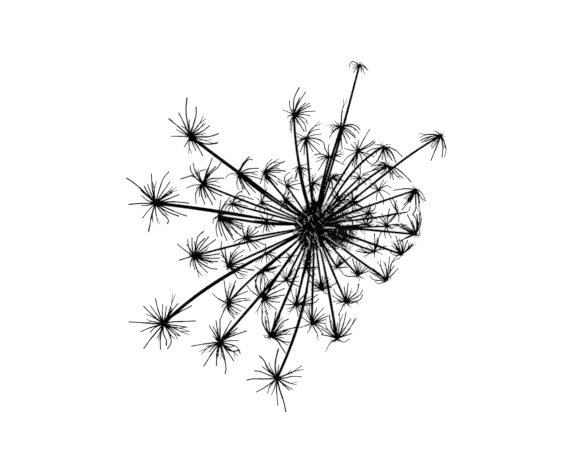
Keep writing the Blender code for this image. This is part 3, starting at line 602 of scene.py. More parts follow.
# Loose ends of bracts, read in the same way: their heights over the table, thicknesses and pixels. The first
# list has the white-ridged skin of painted highlights, the second the bract's own skin
GLINT_ENDS = [
    (8.5 * MM, 0.15 * MM, (339, 234, 341.5, 236.5, 344, 239.5)),
    (6 * MM, 0.18 * MM, (346.8, 239, 349.5, 235.5, 352.3, 230)),
    (7 * MM, 0.16 * MM, (345, 222, 345.3, 219, 347.7, 218, 350.5, 219.2, 351, 222.5)),
    (10 * MM, 0.16 * MM, (336, 235.5, 337.5, 231, 337, 226.5)),
    (8 * MM, 0.15 * MM, (343, 226, 341.5, 223.5, 343.5, 221)),
]
DARK_ENDS = [
    (4.5 * MM, 0.5 * MM, (350.5, 231.8, 353, 233.3, 355.5, 235)),
    (2 * MM, 0.11 * MM, (365, 229, 365.3, 235, 365, 243)),
    (6 * MM, 0.4 * MM, (347, 218, 351, 219, 353, 222, 352, 226)),
    (5 * MM, 0.4 * MM, (341, 243, 344, 245.5, 347, 247)),
    (8 * MM, 0.45 * MM, (327, 239, 332, 242.5, 337, 246)),
    (6 * MM, 0.3 * MM, (334, 247.5, 336, 245.5, 339, 248)),
]
BRACT_HOLLOW = "#050505"
BRACT_RIDGE = "#303030"

# Dead leaf tissue, thin and papery: matt, its veins run along it some 0.2 mm apart
dried_bract = dried_skin(
    "dried_bract", "UV", (4, 0.8, 1), BRACT_HOLLOW, BRACT_RIDGE, 0.6, 0.05 * MM
)

bract = drawn_out("bract", 8, BRACT_RINGS)
bpy.ops.object.mode_set(mode="EDIT")
bpy.ops.mesh.select_all(action="SELECT")
bpy.ops.transform.resize(value=(1, BRACT_FLATNESS, 1), center_override=(0, 0, 0))
pick(bract, lambda corner: corner.co.y > 0 and abs(corner.co.x) < 0.2 and corner.co.z < 0.9)
bpy.ops.transform.translate(value=(0, -BRACT_GROOVE, 0))
bpy.ops.object.mode_set(mode="OBJECT")
side_thread = drawn_out("side_thread", 5, THREAD_RINGS)
for model in (bract, side_thread):
    model.data.materials.append(dried_bract)

ring_centre = HUB - AXIS * RING_DROP + drift(RING_DROP)
bpy.ops.object.select_all(action="DESELECT")
bpy.ops.mesh.primitive_torus_add(
    major_segments=COLLAR_SEGMENTS,
    minor_segments=10,
    major_radius=COLLAR_RADIUS,
    minor_radius=COLLAR_THICKNESS,
)
collar = bpy.context.object
bpy.ops.object.mode_set(mode="EDIT")
pick(collar, lambda corner: column_of(corner.co, COLLAR_SEGMENTS) % COLLAR_DENT_EVERY == 0)
bpy.ops.transform.resize(value=(0.9, 0.9, 0.8), center_override=(0, 0, 0))
bpy.ops.object.mode_set(mode="OBJECT")
collar.data.materials.append(dried_bract)
bpy.ops.object.shade_smooth()
collar.matrix_world = Matrix.Translation(ring_centre) @ AXIS_TURN
settle(collar)

bract_parts = [collar]
bract_draw = random.Random(11)
for index in range(BRACT_COUNT):
    bearing = 2 * math.pi * index / BRACT_COUNT + bract_draw.uniform(-BRACT_TURN_DRAW, BRACT_TURN_DRAW)
    outward = spun(across_axis, AXIS, bearing)
    start = ring_centre + outward * (RING_RADIUS - BRACT_ROOT_DEPTH)
    reach = BRACT_REACH * (1 + bract_draw.uniform(-BRACT_DRAW, BRACT_DRAW))
    drop = BRACT_DROP * (1 + bract_draw.uniform(-BRACT_DRAW, BRACT_DRAW))
    for _ in range(PACKED_DRAWS):
        bract_draw.random()
    line = []
    for step in range(13):
        share = step / 12
        point = start + outward * (reach * share) - AXIS * (drop * share**2)
        point.z = max(point.z, BRACT_WIDTH * 0.6)
        line.append(point)
    bract_parts.append(laid_along(bract, line, [BRACT_WIDTH], draw.uniform(-0.5, 0.5)))
    for pair in range(SIDE_THREAD_PAIRS):
        place = FIRST_PAIR_STEP + pair
        root = line[place]
        along = (line[place + 1] - line[place - 1]).normalized()
        for side in (-1, 1):
            across = along.cross(outward).normalized() * side
            way = (along * draw.uniform(0.5, 1.2) + across + outward * draw.uniform(-0.2, 0.5)).normalized()
            length = SIDE_THREAD_LENGTH * draw.uniform(0.55, 1.15) * (1 - 0.05 * pair)
            curl = outward * draw.uniform(-0.4, 1.2) + along * draw.uniform(-1.1, 0.7)
            thread = []
            for step in range(8):
                share = step / 7
                point = root + way * length * share + curl * length * share**2 * 0.7
                point.z = max(point.z, SIDE_THREAD_RADIUS)
                thread.append(point)
            bract_parts.append(laid_along(side_thread, thread, [SIDE_THREAD_RADIUS]))
    for step in range(1, CURLED_STEPS):
        for _ in range(BRACT_CURLS):
            way = Vector([draw.uniform(-1, 1) for _ in range(3)]).normalized()
            way.z = abs(way.z)
            curl = curl_line(line[step], way, draw)
            bract_parts.append(laid_along(side_thread, curl, [draw.uniform(*CURL_RADII)]))
for index in range(COLLAR_CURLS):
    around = spun(across_axis, AXIS, draw.uniform(0, 2 * math.pi))
    start = ring_centre + around * draw.uniform(*COLLAR_CURL_START)
    way = (around + Vector([draw.uniform(-0.6, 0.6) for _ in range(3)])).normalized()
    bract_parts.append(laid_along(side_thread, curl_line(start, way, draw), [draw.uniform(*CURL_RADII)]))
# Thread model in the white-ridged skin of painted highlights, for the first list of loose ends
glint_thread = drawn_out("glint_thread", 5, THREAD_RINGS)
glint_thread.data.materials.append(glint_rind)
for model, ends in ((glint_thread, GLINT_ENDS), (side_thread, DARK_ENDS)):
    for height, radius, pixels in ends:
        bract_parts.append(laid_along(model, straw_line(pixels, height), [radius]))
involucre = joined("feathered_bracts", bract_parts)
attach(involucre, "root")
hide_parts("involucre")
for model in (bract, side_thread, glint_thread):
    bpy.data.objects.remove(model)


# Sprays: every ray with its little umbel grew as one piece. The ray is a ribbed stem with a flared foot, set
# into the hub. At its end a knot carries bractlets and pedicels, and on each pedicel stands the split
# thread that once held the seed's two halves.

RAY_COLUMNS = 24
RAY_RIB_EVERY = 3
RAY_GROOVE_SHARE = 0.82
RAY_RINGS = [(0, 1.2), (0.02, 1.1), (0.05, 1)] + [(0.09 + 0.048 * step, 1) for step in range(19)]
RAY_RINGS += [(0.975, 0.95), (1, 1.05)]
RAY_FOOT_DEPTH = 3.2 * MM
RAY_NARROWEST = 0.25 * MM
RAY_LINE_SHARES = (0, 0.35, 0.75, 1)
PACKED_TIP_RADIUS = 0.12 * MM
# Rays with a painted highlight on top near the hub, by the pixel of their end: from where to where, in pixels
TOP_GLINT_RAYS = {
    (358, 151): (16, 28),
    (369, 213): (16, 35),
    (386, 279): (14, 34),
    (337, 338): (12, 21),
}
RAY_BRISTLES = 9
RAY_BRISTLE_LENGTHS = (0.35 * MM, 0.8 * MM)
RAY_BRISTLE_RADIUS = 0.05 * MM

KNOT_RINGS = [(0, 0.45), (0.2, 0.75), (0.45, 1), (0.7, 1.02), (0.9, 0.8), (1, 0.5), (0.93, 0.25)]
KNOT_HEIGHT = 0.9 * MM
KNOT_RADII = (0.32 * MM, 0.52 * MM)
# The umbel by the hub that stayed a closed bud, by its pixel, and how much thicker its knot is
BUD_PIXEL = (316, 204)
BUD_SWELL = 3.2

JOINT_SHARE = 0.56
PEDICEL_RINGS = [(0, 1.1), (0.06, 1.02), (0.14, 0.98), (0.24, 0.96), (0.33, 0.94), (0.42, 0.94), (0.5, 0.98)]
PEDICEL_RINGS += [(0.56, 1.06), (0.585, 0.85)]
CLOSED_RINGS = PEDICEL_RINGS + [(0.66, 0.8), (0.74, 0.8), (0.82, 0.8), (0.9, 0.82), (0.97, 0.85), (1, 0.6)]
BROKEN_RINGS = [(height / 0.585, radius) for height, radius in PEDICEL_RINGS]
SPLIT_RINGS = [(0.57, 0.6), (0.66, 0.6), (0.78, 0.58), (0.9, 0.56), (1, 0.45)]
SPLIT_LEAN = (0.3, 1.0, 2.0, 2.6)
PEDICEL_RADII = (0.165 * MM, 0.215 * MM)
# How many pedicels are whole, split and broken
PEDICEL_SHARES = (7, 2, 1)
# A pedicel that wasn't read: its bow, stray and kink, and where its curl starts, as shares of its length
PEDICEL_BOW = 0.25
PEDICEL_STRAY = 0.12
PEDICEL_KINK = 0.04
CURL_START = 0.55
# The rise of a read pedicel over its knot, at the least, as a share of what it spans
LEAST_RISE = 0.12
LOWEST_TIP = 0.12 * MM
SAME_TIP = 0.4 * PIXEL
# The pedicels' usual reach in the smallest umbel, and how much more it is in the largest
SMALLEST_REACH = 3 * MM
REACH_RANGE = 4.5 * MM
# Pedicels added to an umbel whose own were read and to one where none was: the fewest, how many there are in
# all, and the flattest share of their length that they span
ADDED_TO_READ = (2, 9, 0.3)
ADDED_TO_UNREAD = (3, 14, 1)
WIDEST_UMBEL = math.radians(108)
WAYS_DRAWN = 14
BRACTLET_COUNT = 5
BRACTLET_REACH = (0.14, 0.32)
BRACTLET_RADIUS = 0.11 * MM

# Pedicels read in the photograph, by the pixel of their ray's end: points along each, x and y in turn, from
# the knot outwards; the last two numbers are its tip
READ_PEDICELS = {
    (190, 136): [
        (186, 113, 187, 97), (194, 122, 196, 114, 196, 106), (183, 121, 178.5, 112), (179, 127, 168.5, 118),
        (182, 132.5, 176, 129), (180, 136, 171, 136), (198, 125, 205, 116.5), (199, 128.5, 205, 122.5),
        (202, 131, 210, 125), (199, 134, 205, 134), (201, 136.5, 210, 136, 219, 133),
        (202, 139.5, 212, 141), (200, 142, 208, 144, 218, 142.5), (198, 147, 203, 156),
        (189, 144, 190, 153.5), (187, 142, 184, 147), (193, 144, 196, 150.5), (189, 127, 189, 119),
        (186, 129, 181, 125.5),
    ],
    (155, 203): [
        (143, 191, 132, 181.5, 125.5, 177.5), (141, 203, 128, 204), (148, 205, 141, 205.5),
        (148, 210, 142, 218), (151, 216, 149.5, 225, 148, 232), (155.5, 213, 158.5, 224),
        (161, 212, 168, 219, 167, 224), (163, 210.5, 168, 216), (166, 211, 179, 216),
        (168, 208.5, 177, 212.5, 187, 216), (170, 201.5, 180, 202, 189, 203), (168, 198.5, 179, 194),
        (167, 194, 177, 188), (165, 194, 173, 187.5), (163, 191, 170, 181), (159, 189, 163, 178, 169, 171),
        (154, 193, 154, 181), (152, 189, 151, 173), (149, 195, 144, 186), (150, 192, 147, 183.5),
        (146, 199.5, 141.5, 195), (152, 212, 152.5, 222), (165, 196.5, 172, 192.5), (147, 196, 140, 190),
    ],
    (203, 184): [
        (193, 176, 188, 176.5, 180, 179), (193, 185, 186, 188), (196, 192, 196, 203.5),
        (201, 192, 205, 204.5), (206, 192, 213, 205), (209, 190, 215.5, 200), (212, 191, 222.5, 196),
        (211, 184, 221, 187), (211, 181.5, 219, 181), (211, 178.5, 224, 178),
        (211, 173, 218, 167, 221, 162), (209, 173, 216, 166), (206, 173, 209, 166, 212.5, 157),
        (199, 174, 201, 170.5, 206, 169.5), (198, 176, 197, 168), (199, 178, 195, 171, 193, 162),
        (196, 178, 191, 171, 190, 165), (200, 189, 199, 197), (203.5, 190, 206, 198), (206, 176, 209, 167),
        (199, 186, 196, 188.5),
    ],
    (194, 256): [
        (186, 251, 177, 243.5), (187, 257.5, 179, 260), (189, 248, 187.5, 238.5), (192, 246, 192, 237),
        (196, 244, 198, 236, 204, 231), (198, 245, 205, 238), (201, 246, 209, 236), (205, 247, 216, 239),
        (205, 250.5, 208, 248), (207, 255.5, 220, 253.5), (206, 258, 220, 258), (208, 260.5, 218, 261.5),
        (204, 260, 213, 263), (201, 263, 210, 268, 217.5, 269), (200, 265, 208, 273), (196, 267, 201, 277),
        (191, 260, 190, 267), (193, 263, 195, 270), (190, 249, 186, 244), (203, 261, 208, 264),
        (195, 247, 194, 241),
    ],
    (163, 324): [
        (172, 322, 185, 321.5, 196, 321), (176, 314, 192, 305.5), (169, 311, 174, 293.5),
        (158, 311, 155, 298), (156, 314, 150, 305.5), (152, 315, 143, 306), (154, 318, 146, 314),
        (153, 321.5, 146, 321), (150, 323.5, 138, 322.5, 128, 322), (149, 328, 140, 332),
        (154, 328, 150, 332.5), (151, 338, 143, 349), (160, 337, 160, 350), (163, 334, 166, 340, 166, 346),
        (168, 332, 171, 342, 167, 349.5), (169, 333, 173, 340), (172, 332, 179, 338),
        (172, 329.5, 180, 336), (173, 328, 182, 332, 190, 333), (174, 327.5, 188, 329),
        (175, 325.5, 186, 327), (162, 313, 162.5, 304), (165, 315, 166, 306), (171, 312, 178, 303),
        (168, 316, 172, 308), (160, 332, 157, 340),
    ],
    (220, 342): [
        (206, 343.5, 191, 346), (209, 347, 200, 353), (212, 353, 203.5, 366.5), (217, 352, 216.5, 366),
        (223, 352, 226, 367, 225, 374), (227, 351, 234, 361), (228, 348, 234, 352, 237, 357.5),
        (229, 344, 237, 347, 240.5, 354), (226, 348.5, 232, 351, 240, 350), (229, 340.5, 239, 340),
        (230, 336.5, 247, 330.5), (230, 333.5, 238, 327.5), (228, 336, 236, 332), (226, 330, 231.5, 320),
        (220, 330, 220, 318), (217.5, 331, 216, 320), (217, 333.5, 213, 326), (214, 333, 209, 325),
        (216, 338.5, 212, 335), (213, 347, 209, 352), (212, 345, 206, 346), (221.5, 351, 222, 359),
        (218.5, 351, 218, 358), (229, 347, 235, 345.5),
    ],
    (277, 378): [
        (265, 378.5, 252, 378.5, 246.5, 380), (266, 373.5, 260, 371, 254, 370.5),
        (268, 368, 264, 360, 259, 355), (269, 371, 262, 366), (271.5, 369, 269, 362),
        (275, 367, 276, 358, 278.5, 348), (287, 374, 295, 370.5, 303, 367),
        (286, 377.5, 292, 376, 302, 376.5), (286, 381, 291, 383, 298, 383), (285, 384.5, 293, 389),
        (283, 384, 289.5, 390), (280, 390, 284, 402, 286, 412), (276.5, 390, 278, 405.5),
        (274.5, 387, 271.5, 394.5), (270, 386, 267.5, 393), (268, 385, 256, 392), (278, 370, 279, 364),
        (286, 374, 292, 371),
    ],
    (228, 303): [
        (222, 300.5, 217, 297.5, 213, 293.5), (226, 293, 224, 280), (228, 293, 231, 282),
        (231, 292, 236, 280), (232, 292, 235, 285), (236, 296, 248, 291), (237, 299, 247, 298),
        (238, 301.5, 251, 299), (236, 304, 246, 308), (234, 307, 241, 311), (232, 309, 239, 314),
        (230, 310, 236, 316), (229, 311, 235, 319), (227.5, 309, 230, 313), (224.5, 309, 221, 318),
        (223, 304.5, 222, 308),
    ],
    (358, 151): [
        (362, 142, 369.5, 129), (366, 146, 374, 140.5), (367, 147.5, 375, 142), (354, 148, 350.5, 144),
        (352, 150.5, 344, 148.5), (352, 154, 346, 158, 342.5, 163), (357.5, 146, 358.5, 140),
        (356, 146, 354, 142), (356, 157, 354, 168), (357, 158, 356, 165), (366, 153.5, 374, 157),
        (361, 157, 362, 163), (364, 155, 368, 158.5), (354.5, 157, 352, 166),
    ],
    (329, 157): [
        (337, 155, 344, 153), (335, 156, 341, 156.5), (335, 160, 344.5, 165), (323, 156.5, 317, 158),
        (323, 158.5, 316, 162), (324, 161, 318, 171), (326, 151, 324, 146), (328, 150, 329, 144),
    ],
    (359, 178): [
        (355, 176.5, 350, 176), (360, 171, 359, 165), (354, 178.5, 350, 179), (365, 178.5, 371, 180.5),
        (363, 181, 366, 185), (358.5, 183, 358, 188), (363, 175.5, 369, 174.5),
    ],
    (378, 190): [
        (376.5, 194, 376, 200.5), (380, 194, 383, 199, 383, 204.5), (383, 187, 387, 185.5, 391, 188),
        (383, 190.5, 390, 195), (376, 186, 374.5, 182.5), (373, 188, 369, 187.5), (381, 184, 383.5, 179.5),
        (374, 185.5, 370, 183), (382, 186, 386, 181),
    ],
    (294, 115): [
        (288, 112, 282, 109.5), (293.5, 104, 294.5, 97, 299.5, 87), (298, 104, 306, 91.5),
        (296.5, 105, 300, 97), (300, 108, 306, 102.5), (302, 108, 310, 103), (303, 109.5, 311, 105.5),
        (304, 112, 316, 111), (303, 114.5, 310.5, 116), (301, 117, 306, 120, 307, 124),
        (300, 119, 305, 125, 306, 132), (296, 119, 297.5, 124), (299, 123, 304.5, 132),
        (290.5, 121, 290, 129), (292, 123, 291, 133), (290, 108, 289.5, 100.5), (290, 115.5, 287, 117),
    ],
    (306, 138): [
        (311, 129.5, 321, 122), (313, 135, 322, 134), (313, 138, 321, 140.5),
        (315, 138.5, 323, 142, 325, 150), (313, 141, 320, 145), (312, 145, 321, 154), (310, 146, 313, 152),
        (301, 135.5, 296, 133), (302, 139, 297, 142), (301, 141, 297, 147), (303, 145, 300, 152),
        (304.5, 147, 304, 155), (312, 131, 320, 129), (300, 138, 297, 136),
    ],
    (341, 127): [
        (341.5, 114, 345, 99), (349, 124.5, 356, 126, 360, 130.5), (349, 126.5, 355, 129, 359, 134),
        (348, 129.5, 355, 136), (347, 131, 355.5, 138), (345, 132.5, 350, 139), (343, 134, 347, 144),
        (333, 125, 328, 127), (334, 127, 332, 129, 332, 133), (334, 131, 329, 138), (341, 138, 342, 150),
        (338, 124.5, 335, 122), (335, 129, 331, 135),
    ],
    (387, 166): [
        (396, 168.5, 404, 175, 411, 182.5), (394, 170, 398, 174.5, 403, 178.5),
        (392, 171, 396, 176, 400, 178), (391, 174, 393, 180), (389.5, 173, 390, 178.5),
        (382, 163.5, 377, 165), (379, 166, 371, 171), (378, 168.5, 362, 174.5), (384, 171, 380, 174),
        (385, 168.5, 376, 170.5), (384, 163, 378, 162),
    ],
    (219, 216): [
        (214, 218.5, 213, 223.5), (216, 227, 217.5, 237), (219, 227, 222, 236), (222, 228, 227, 241),
        (226, 228, 234, 240), (226, 226, 233, 236), (226, 223, 232, 230), (230, 224.5, 237, 233),
        (231, 220.5, 243, 223.5), (231, 222, 244.5, 228), (219.5, 209, 221, 199), (223, 206, 230, 197),
        (222.5, 208, 226, 201), (229, 222, 241, 229), (228, 219, 237, 219.5),
    ],
    (264, 298): [
        (258, 295.5, 251, 290.5, 247, 285), (260, 305, 256, 314), (262, 306, 262.5, 311),
        (265, 306, 268, 314), (270, 304, 277, 309.5), (267, 303, 270.5, 308), (271, 301, 280, 302),
        (272, 298.5, 279, 297), (273, 296.5, 285, 294.5), (273, 293, 285, 288), (271, 289.5, 281, 283.5),
        (258, 290, 255, 279), (260.5, 288, 261, 278), (264, 289, 266.5, 279), (269, 291, 277, 285),
        (258, 293, 256, 288), (266, 287, 270, 280),
    ],
    (296, 304): [
        (291, 304, 285, 304), (291, 301, 287, 298), (292, 309, 288, 313), (292, 307, 288, 309),
        (293, 297, 291, 290), (296, 296, 296, 288), (301, 298, 308, 291), (304, 300.5, 310, 296),
        (305, 302, 318, 294), (306, 303.5, 315, 302, 319, 298), (304, 305, 312, 304.5),
        (299, 309, 301, 315), (300, 307, 304, 312), (297, 310, 298, 316),
    ],
    (312, 323): [
        (310, 328, 307, 333), (315, 329.5, 317.5, 334, 317, 340), (306, 325, 299, 327.5),
        (317, 315, 324, 307), (314.5, 314, 317, 307), (319, 317.5, 325, 313), (320, 319, 328, 315.5),
        (319, 321, 326, 319), (307, 320.5, 300, 315), (308, 316, 304, 309), (310, 315, 308, 306),
        (318, 327, 323, 334), (319, 325, 328, 330), (309, 314, 306, 311), (320, 322.5, 326, 323),
    ],
    (239, 174): [
        (242, 165, 249.5, 156), (243, 165.5, 249, 159, 253, 160), (245, 170, 250, 168.5, 259, 168),
        (247, 172.5, 258, 173), (248, 175.5, 255, 177, 263, 179.5), (232, 173.5, 228, 175, 225.5, 178),
        (237, 181, 237.5, 187, 239.5, 190), (243, 184, 250, 195), (246, 182.5, 256, 193),
        (242, 182, 245, 189), (247, 173, 256, 171.5), (246, 176, 252, 180),
    ],
    (265, 172): [
        (267, 164, 272.5, 159), (270, 164, 280, 160), (274, 166, 285, 161), (272, 168.5, 280, 167),
        (275, 170, 286, 171), (273, 172, 281, 172.5), (271, 174.5, 277, 177.5, 283, 183),
        (270, 177, 278, 185), (262, 178, 260, 184), (265, 180, 265, 188), (266, 178, 268, 184),
        (273, 170.5, 277, 170),
    ],
    (359, 66): [
        (356, 63.5, 353, 62, 350, 63.5, 349, 68), (356, 65.5, 351.5, 65.5), (356, 67, 352, 69),
        (356, 69, 353, 73), (364, 67.5, 366.5, 70), (361, 69, 361, 72), (362.5, 69.5, 364, 74),
        (361, 63.5, 361, 62), (363, 65.5, 368, 71),
    ],
    (383, 147): [
        (390, 148, 396, 151, 402, 157), (389, 150, 393, 156, 395.5, 163), (387, 152, 392, 161),
        (386, 152, 388, 158), (384, 154, 386, 163), (381, 152, 379, 158), (378, 150, 374, 155),
        (380, 155, 375, 163, 370, 164, 366, 160), (374, 151.5, 368, 158),
        (376, 148.5, 371, 149.5, 366, 152.5), (379, 145, 374, 145), (388, 147, 390, 145),
        (390, 152, 394, 159), (382.5, 154, 382, 160),
    ],
    (440, 136): [
        (430, 134.5, 418, 136), (430, 137, 420.5, 143), (431, 139, 424, 142), (433, 142, 430, 147),
        (436, 146, 430, 161), (442, 147, 441, 158), (441, 142, 442, 149), (443, 141, 444, 148),
        (438, 140, 435, 142.5),
    ],
    (415, 190): [
        (409, 194, 403, 199), (410, 195, 405, 201), (411, 195, 407, 201.5), (410, 199, 401, 210),
        (415, 199, 415, 209, 412, 214), (417.5, 197, 418.5, 207), (417, 193, 419, 203),
        (413, 195, 409, 203),
    ],
    (397, 213): [
        (394, 208, 391, 203, 389.5, 199), (395, 208, 394, 202, 391, 197), (393, 218, 390, 222),
        (398.5, 217, 398, 222), (402, 213, 408, 211, 409.5, 206), (401, 212.5, 407, 211.5),
        (395, 205, 396, 200), (391, 215, 385, 218),
    ],
    (386, 226): [
        (382, 220, 378, 216), (387, 219, 388, 213, 389, 208), (391, 224.5, 399, 226), (395, 224, 407, 225),
        (381, 223, 375, 221.5), (389, 227.5, 393, 229), (384, 219, 381, 213), (390, 220, 395, 214),
        (384, 231, 385, 238), (388, 232, 391, 238),
    ],
    (415, 234): [
        (419.5, 225, 420, 215, 416.5, 206), (416, 225, 415, 218, 411.5, 213.5), (411, 223.5, 406.5, 214),
        (409, 228.5, 400, 224), (406, 228.5, 396, 224.5), (408, 231, 399, 227), (409, 236.5, 400, 240),
        (417, 224, 416, 214), (418.5, 222, 418.5, 213), (413, 226, 411, 220), (417.5, 235, 418, 237.5),
        (408, 236, 396, 243),
    ],
    (401, 254): [
        (396, 247.5, 391, 240), (398, 245, 395, 235), (401, 246, 398, 238),
        (404, 248, 405.5, 243, 407, 239.5), (408, 249, 415, 242.5), (406, 249.5, 412, 243.5),
        (396, 255, 392, 254, 389.5, 251), (397, 250, 391, 245), (402.5, 246, 402, 240),
        (398, 248.5, 394, 243),
    ],
    (374, 251): [
        (371, 247.5, 369, 244), (374.5, 242, 374, 233), (377, 245, 378, 239, 381, 231),
        (378, 249.5, 384, 249), (378, 252, 382, 254.5), (367, 252.5, 355, 250.5), (369, 253, 363, 257.5),
        (374, 254, 374, 257), (370, 249.5, 365, 247), (367, 252, 358, 247), (376, 244, 377, 237),
    ],
    (386, 279): [
        (382, 270, 378, 260), (386, 270, 384, 261), (388, 267, 389, 256),
        (389, 272, 391, 263, 395, 258.5, 399, 256), (379, 280, 373, 279, 369, 275), (379, 277, 369, 271),
        (382, 282, 378, 283.5, 374.5, 281), (389, 276, 391, 278.5), (383, 272, 380, 265),
        (380, 275.5, 372, 272.5), (390, 271, 394, 265),
    ],
    (358, 275): [
        (350, 276, 344, 274.5, 339, 268), (355, 267, 352, 258), (357, 268, 356, 260),
        (358.5, 268, 359, 262), (360, 269, 361, 264), (362, 270, 366, 265), (363, 271, 368, 267),
        (354, 273, 350, 271.5), (361, 277, 364, 279), (358.5, 277, 359, 280.5), (363, 272.5, 371, 270),
    ],
    (337, 267): [
        (344, 261.5, 351, 256), (340, 262, 342.5, 257), (342, 267, 348, 267), (338.5, 262, 339, 258),
        (334.5, 268.5, 332, 270), (341, 262.5, 346, 257),
    ],
    (346, 302): [
        (341, 297.5, 336, 293.5, 333, 288), (339, 299.5, 332, 295), (341, 301.5, 336, 303.5),
        (345, 293, 344, 286), (347, 291, 348, 282), (349, 295, 352, 289), (352, 296, 357, 291, 358.5, 283),
        (354, 298, 360, 294, 362.5, 289), (355, 301, 360, 299, 362.5, 294),
        (351, 303, 355, 301.5, 358.5, 303.5), (348, 304, 351, 307), (343, 305, 341, 309, 338, 315),
        (340, 300.5, 333, 301),
    ],
    (337, 338): [
        (332, 329, 330, 321, 329, 314), (331, 332.5, 327, 328, 325, 324), (329, 335.5, 321, 334),
        (330, 334, 321, 328), (333, 340, 329, 344, 326, 350), (336.5, 330, 337.5, 322),
        (339, 326, 341, 313), (341, 330, 344, 321, 346, 311), (344, 329, 351, 317.5),
        (345, 333, 350, 327, 356, 317), (344, 335.5, 352, 333), (340, 333, 343, 326), (334, 331, 333, 325),
    ],
    (270, 336): [
        (265, 328, 262, 320, 262.5, 310), (266, 325, 265, 316), (269, 326, 268, 318, 265, 310),
        (274, 323, 276, 311), (277, 324, 282, 315.5), (277, 329, 282, 322, 289, 318.5),
        (278, 332.5, 286, 329.5, 296, 327), (277, 336.5, 284, 338), (278, 338.5, 283, 341, 290, 342),
        (279, 339.5, 288, 345), (277, 340, 281, 346, 285.5, 353), (277, 331, 284, 324),
        (279, 334, 288, 329.5),
    ],
    (228, 266): [
        (226, 256, 225, 248), (224, 256, 221, 249, 222, 241), (230, 258, 231, 252),
        (231, 257, 235, 250, 240, 246), (236, 255.5, 245, 249.5), (236, 259, 243, 255),
        (240, 267, 247, 269, 255, 270), (236, 264.5, 244, 263), (238, 270, 248, 272),
        (238, 272, 246.5, 277), (235, 273.5, 238, 278, 243, 278), (226, 260, 221, 254.5),
        (225, 262, 220.5, 260.5), (233, 257, 237, 251),
    ],
    (246, 238): [
        (243, 231, 242, 224), (238, 233, 231, 226), (239, 239, 233.5, 242), (248, 245, 251, 251.5),
        (252, 243.5, 257, 249), (254, 242, 260, 247.5), (249, 232, 252, 227.5), (251, 233, 257, 227),
        (247, 231, 248, 226), (252, 235, 259, 231),
    ],
    (266, 253): [
        (271, 252.5, 276.5, 253), (268, 257, 270, 260), (263, 257, 261, 263), (266.5, 258, 267, 263),
        (274, 256, 281, 263), (270, 255, 273, 259),
    ],
    (263, 271): [
        (258, 275, 256, 281, 255.5, 288), (269, 271.5, 276, 272.5), (266, 276, 268.5, 281),
        (272, 268, 281, 265), (270, 270, 277, 267.5), (262, 278, 261, 285), (264, 276, 265, 284),
    ],
    (286, 280): [
        (286, 274, 287, 267), (290, 274.5, 295, 268), (283, 277, 280.5, 273), (293, 278, 299, 276),
        (292, 281, 299, 281), (293, 283.5, 301, 287), (289, 285, 291, 290), (281, 281, 276, 281),
        (280, 283.5, 273, 289), (289, 276, 291, 270), (284, 275, 283, 270),
    ],
    (290, 257): [(292, 260, 295.5, 264), (293, 256, 297, 255), (287, 253, 286, 250), (290, 260, 292, 264)],
    (262, 202): [
        (258, 199, 255.5, 197), (260, 207, 260, 213), (264, 197, 268, 195), (261, 195, 262, 191),
        (265, 201, 272, 201), (263, 206, 265, 212),
    ],
    (232, 204): [
        (236, 198, 241, 195.5, 254, 199.5), (235, 197, 239, 192, 243, 191.5), (236, 202, 242, 202),
        (238, 204, 248, 206), (227, 206, 224, 213), (229, 209, 228, 213), (233, 209, 235, 213),
        (226, 204, 222, 209), (236, 207, 242, 213),
    ],
    (287, 186): [
        (284.5, 179, 286, 175, 290, 172), (291, 182, 298, 180), (290, 186, 294.5, 188.5),
        (286, 190, 285, 195), (288, 190, 288, 195), (281, 183, 277, 181),
    ],
}

RAY_HOLLOW = "#020202"
RAY_RIDGE = "#0c0c0c"
RAY_GLINT = "#f0f0f0"
# The painted highlight streaks thin out along a ray, from the first of these places to the second, in
# millimetres, as the noise's limit rises
GLINT_STRETCH = (3, 11)
GLINT_LIMITS = (0.63, 0.76)
GLINT_SHARPNESS = 20
GLINT_SEED = 19

# The pedicels' skin, thin as a thread, and the rays': the stem's, with streaks some 0.2 mm apart along them
dried_pedicel = dried_skin("dried_pedicel", "UV", (5, 0.5, 1), RAY_HOLLOW, RAY_RIDGE, 0.5, 0.05 * MM)
dried_ray = dried_skin("dried_ray", "UV", (5, 0.5, 1), RAY_HOLLOW, RAY_RIDGE, 0.5, 0.05 * MM)


# By the hub the rays' skin is painted pale in streaks of 0.4 by 3 mm: painted highlights on the dark rays
ray_nodes = {node.bl_idname: node for node in dried_ray.node_tree.nodes}
ray_place = ray_nodes["ShaderNodeTexCoord"]
glint_stretch = add_node(
    dried_ray, "ShaderNodeMapping", inputs={"Scale": (1.7, 0.3, 1)}, links={"Vector": (ray_place, "UV")}
)
glint_place = add_node(dried_ray, "ShaderNodeAttribute", {"attribute_name": "glint_place"})
glint_streaks = add_node(
    dried_ray,
    "ShaderNodeTexNoise",
    {"noise_dimensions": "4D"},
    {"Scale": 1, "Detail": 1},
    {"Vector": (glint_stretch, "Vector"), "W": (glint_place, "Fac")},
)
along_ray = add_node(dried_ray, "ShaderNodeSeparateXYZ", links={"Vector": (ray_place, "UV")})
glint_limit = add_node(
    dried_ray,
    "ShaderNodeMapRange",
    inputs={
        "From Min": GLINT_STRETCH[0],
        "From Max": GLINT_STRETCH[1],
        "To Min": GLINT_LIMITS[0],
        "To Max": GLINT_LIMITS[1],
    },
    links={"Value": (along_ray, "Y")},
)
above_limit = add_node(
    dried_ray,
    "ShaderNodeMath",
    {"operation": "SUBTRACT"},
    links={0: (glint_streaks, "Fac"), 1: (glint_limit, "Result")},
)
glint_share = add_node(
    dried_ray,
    "ShaderNodeMath",
    {"operation": "MULTIPLY", "use_clamp": True},
    {1: GLINT_SHARPNESS},
    {0: (above_limit, "Value")},
)
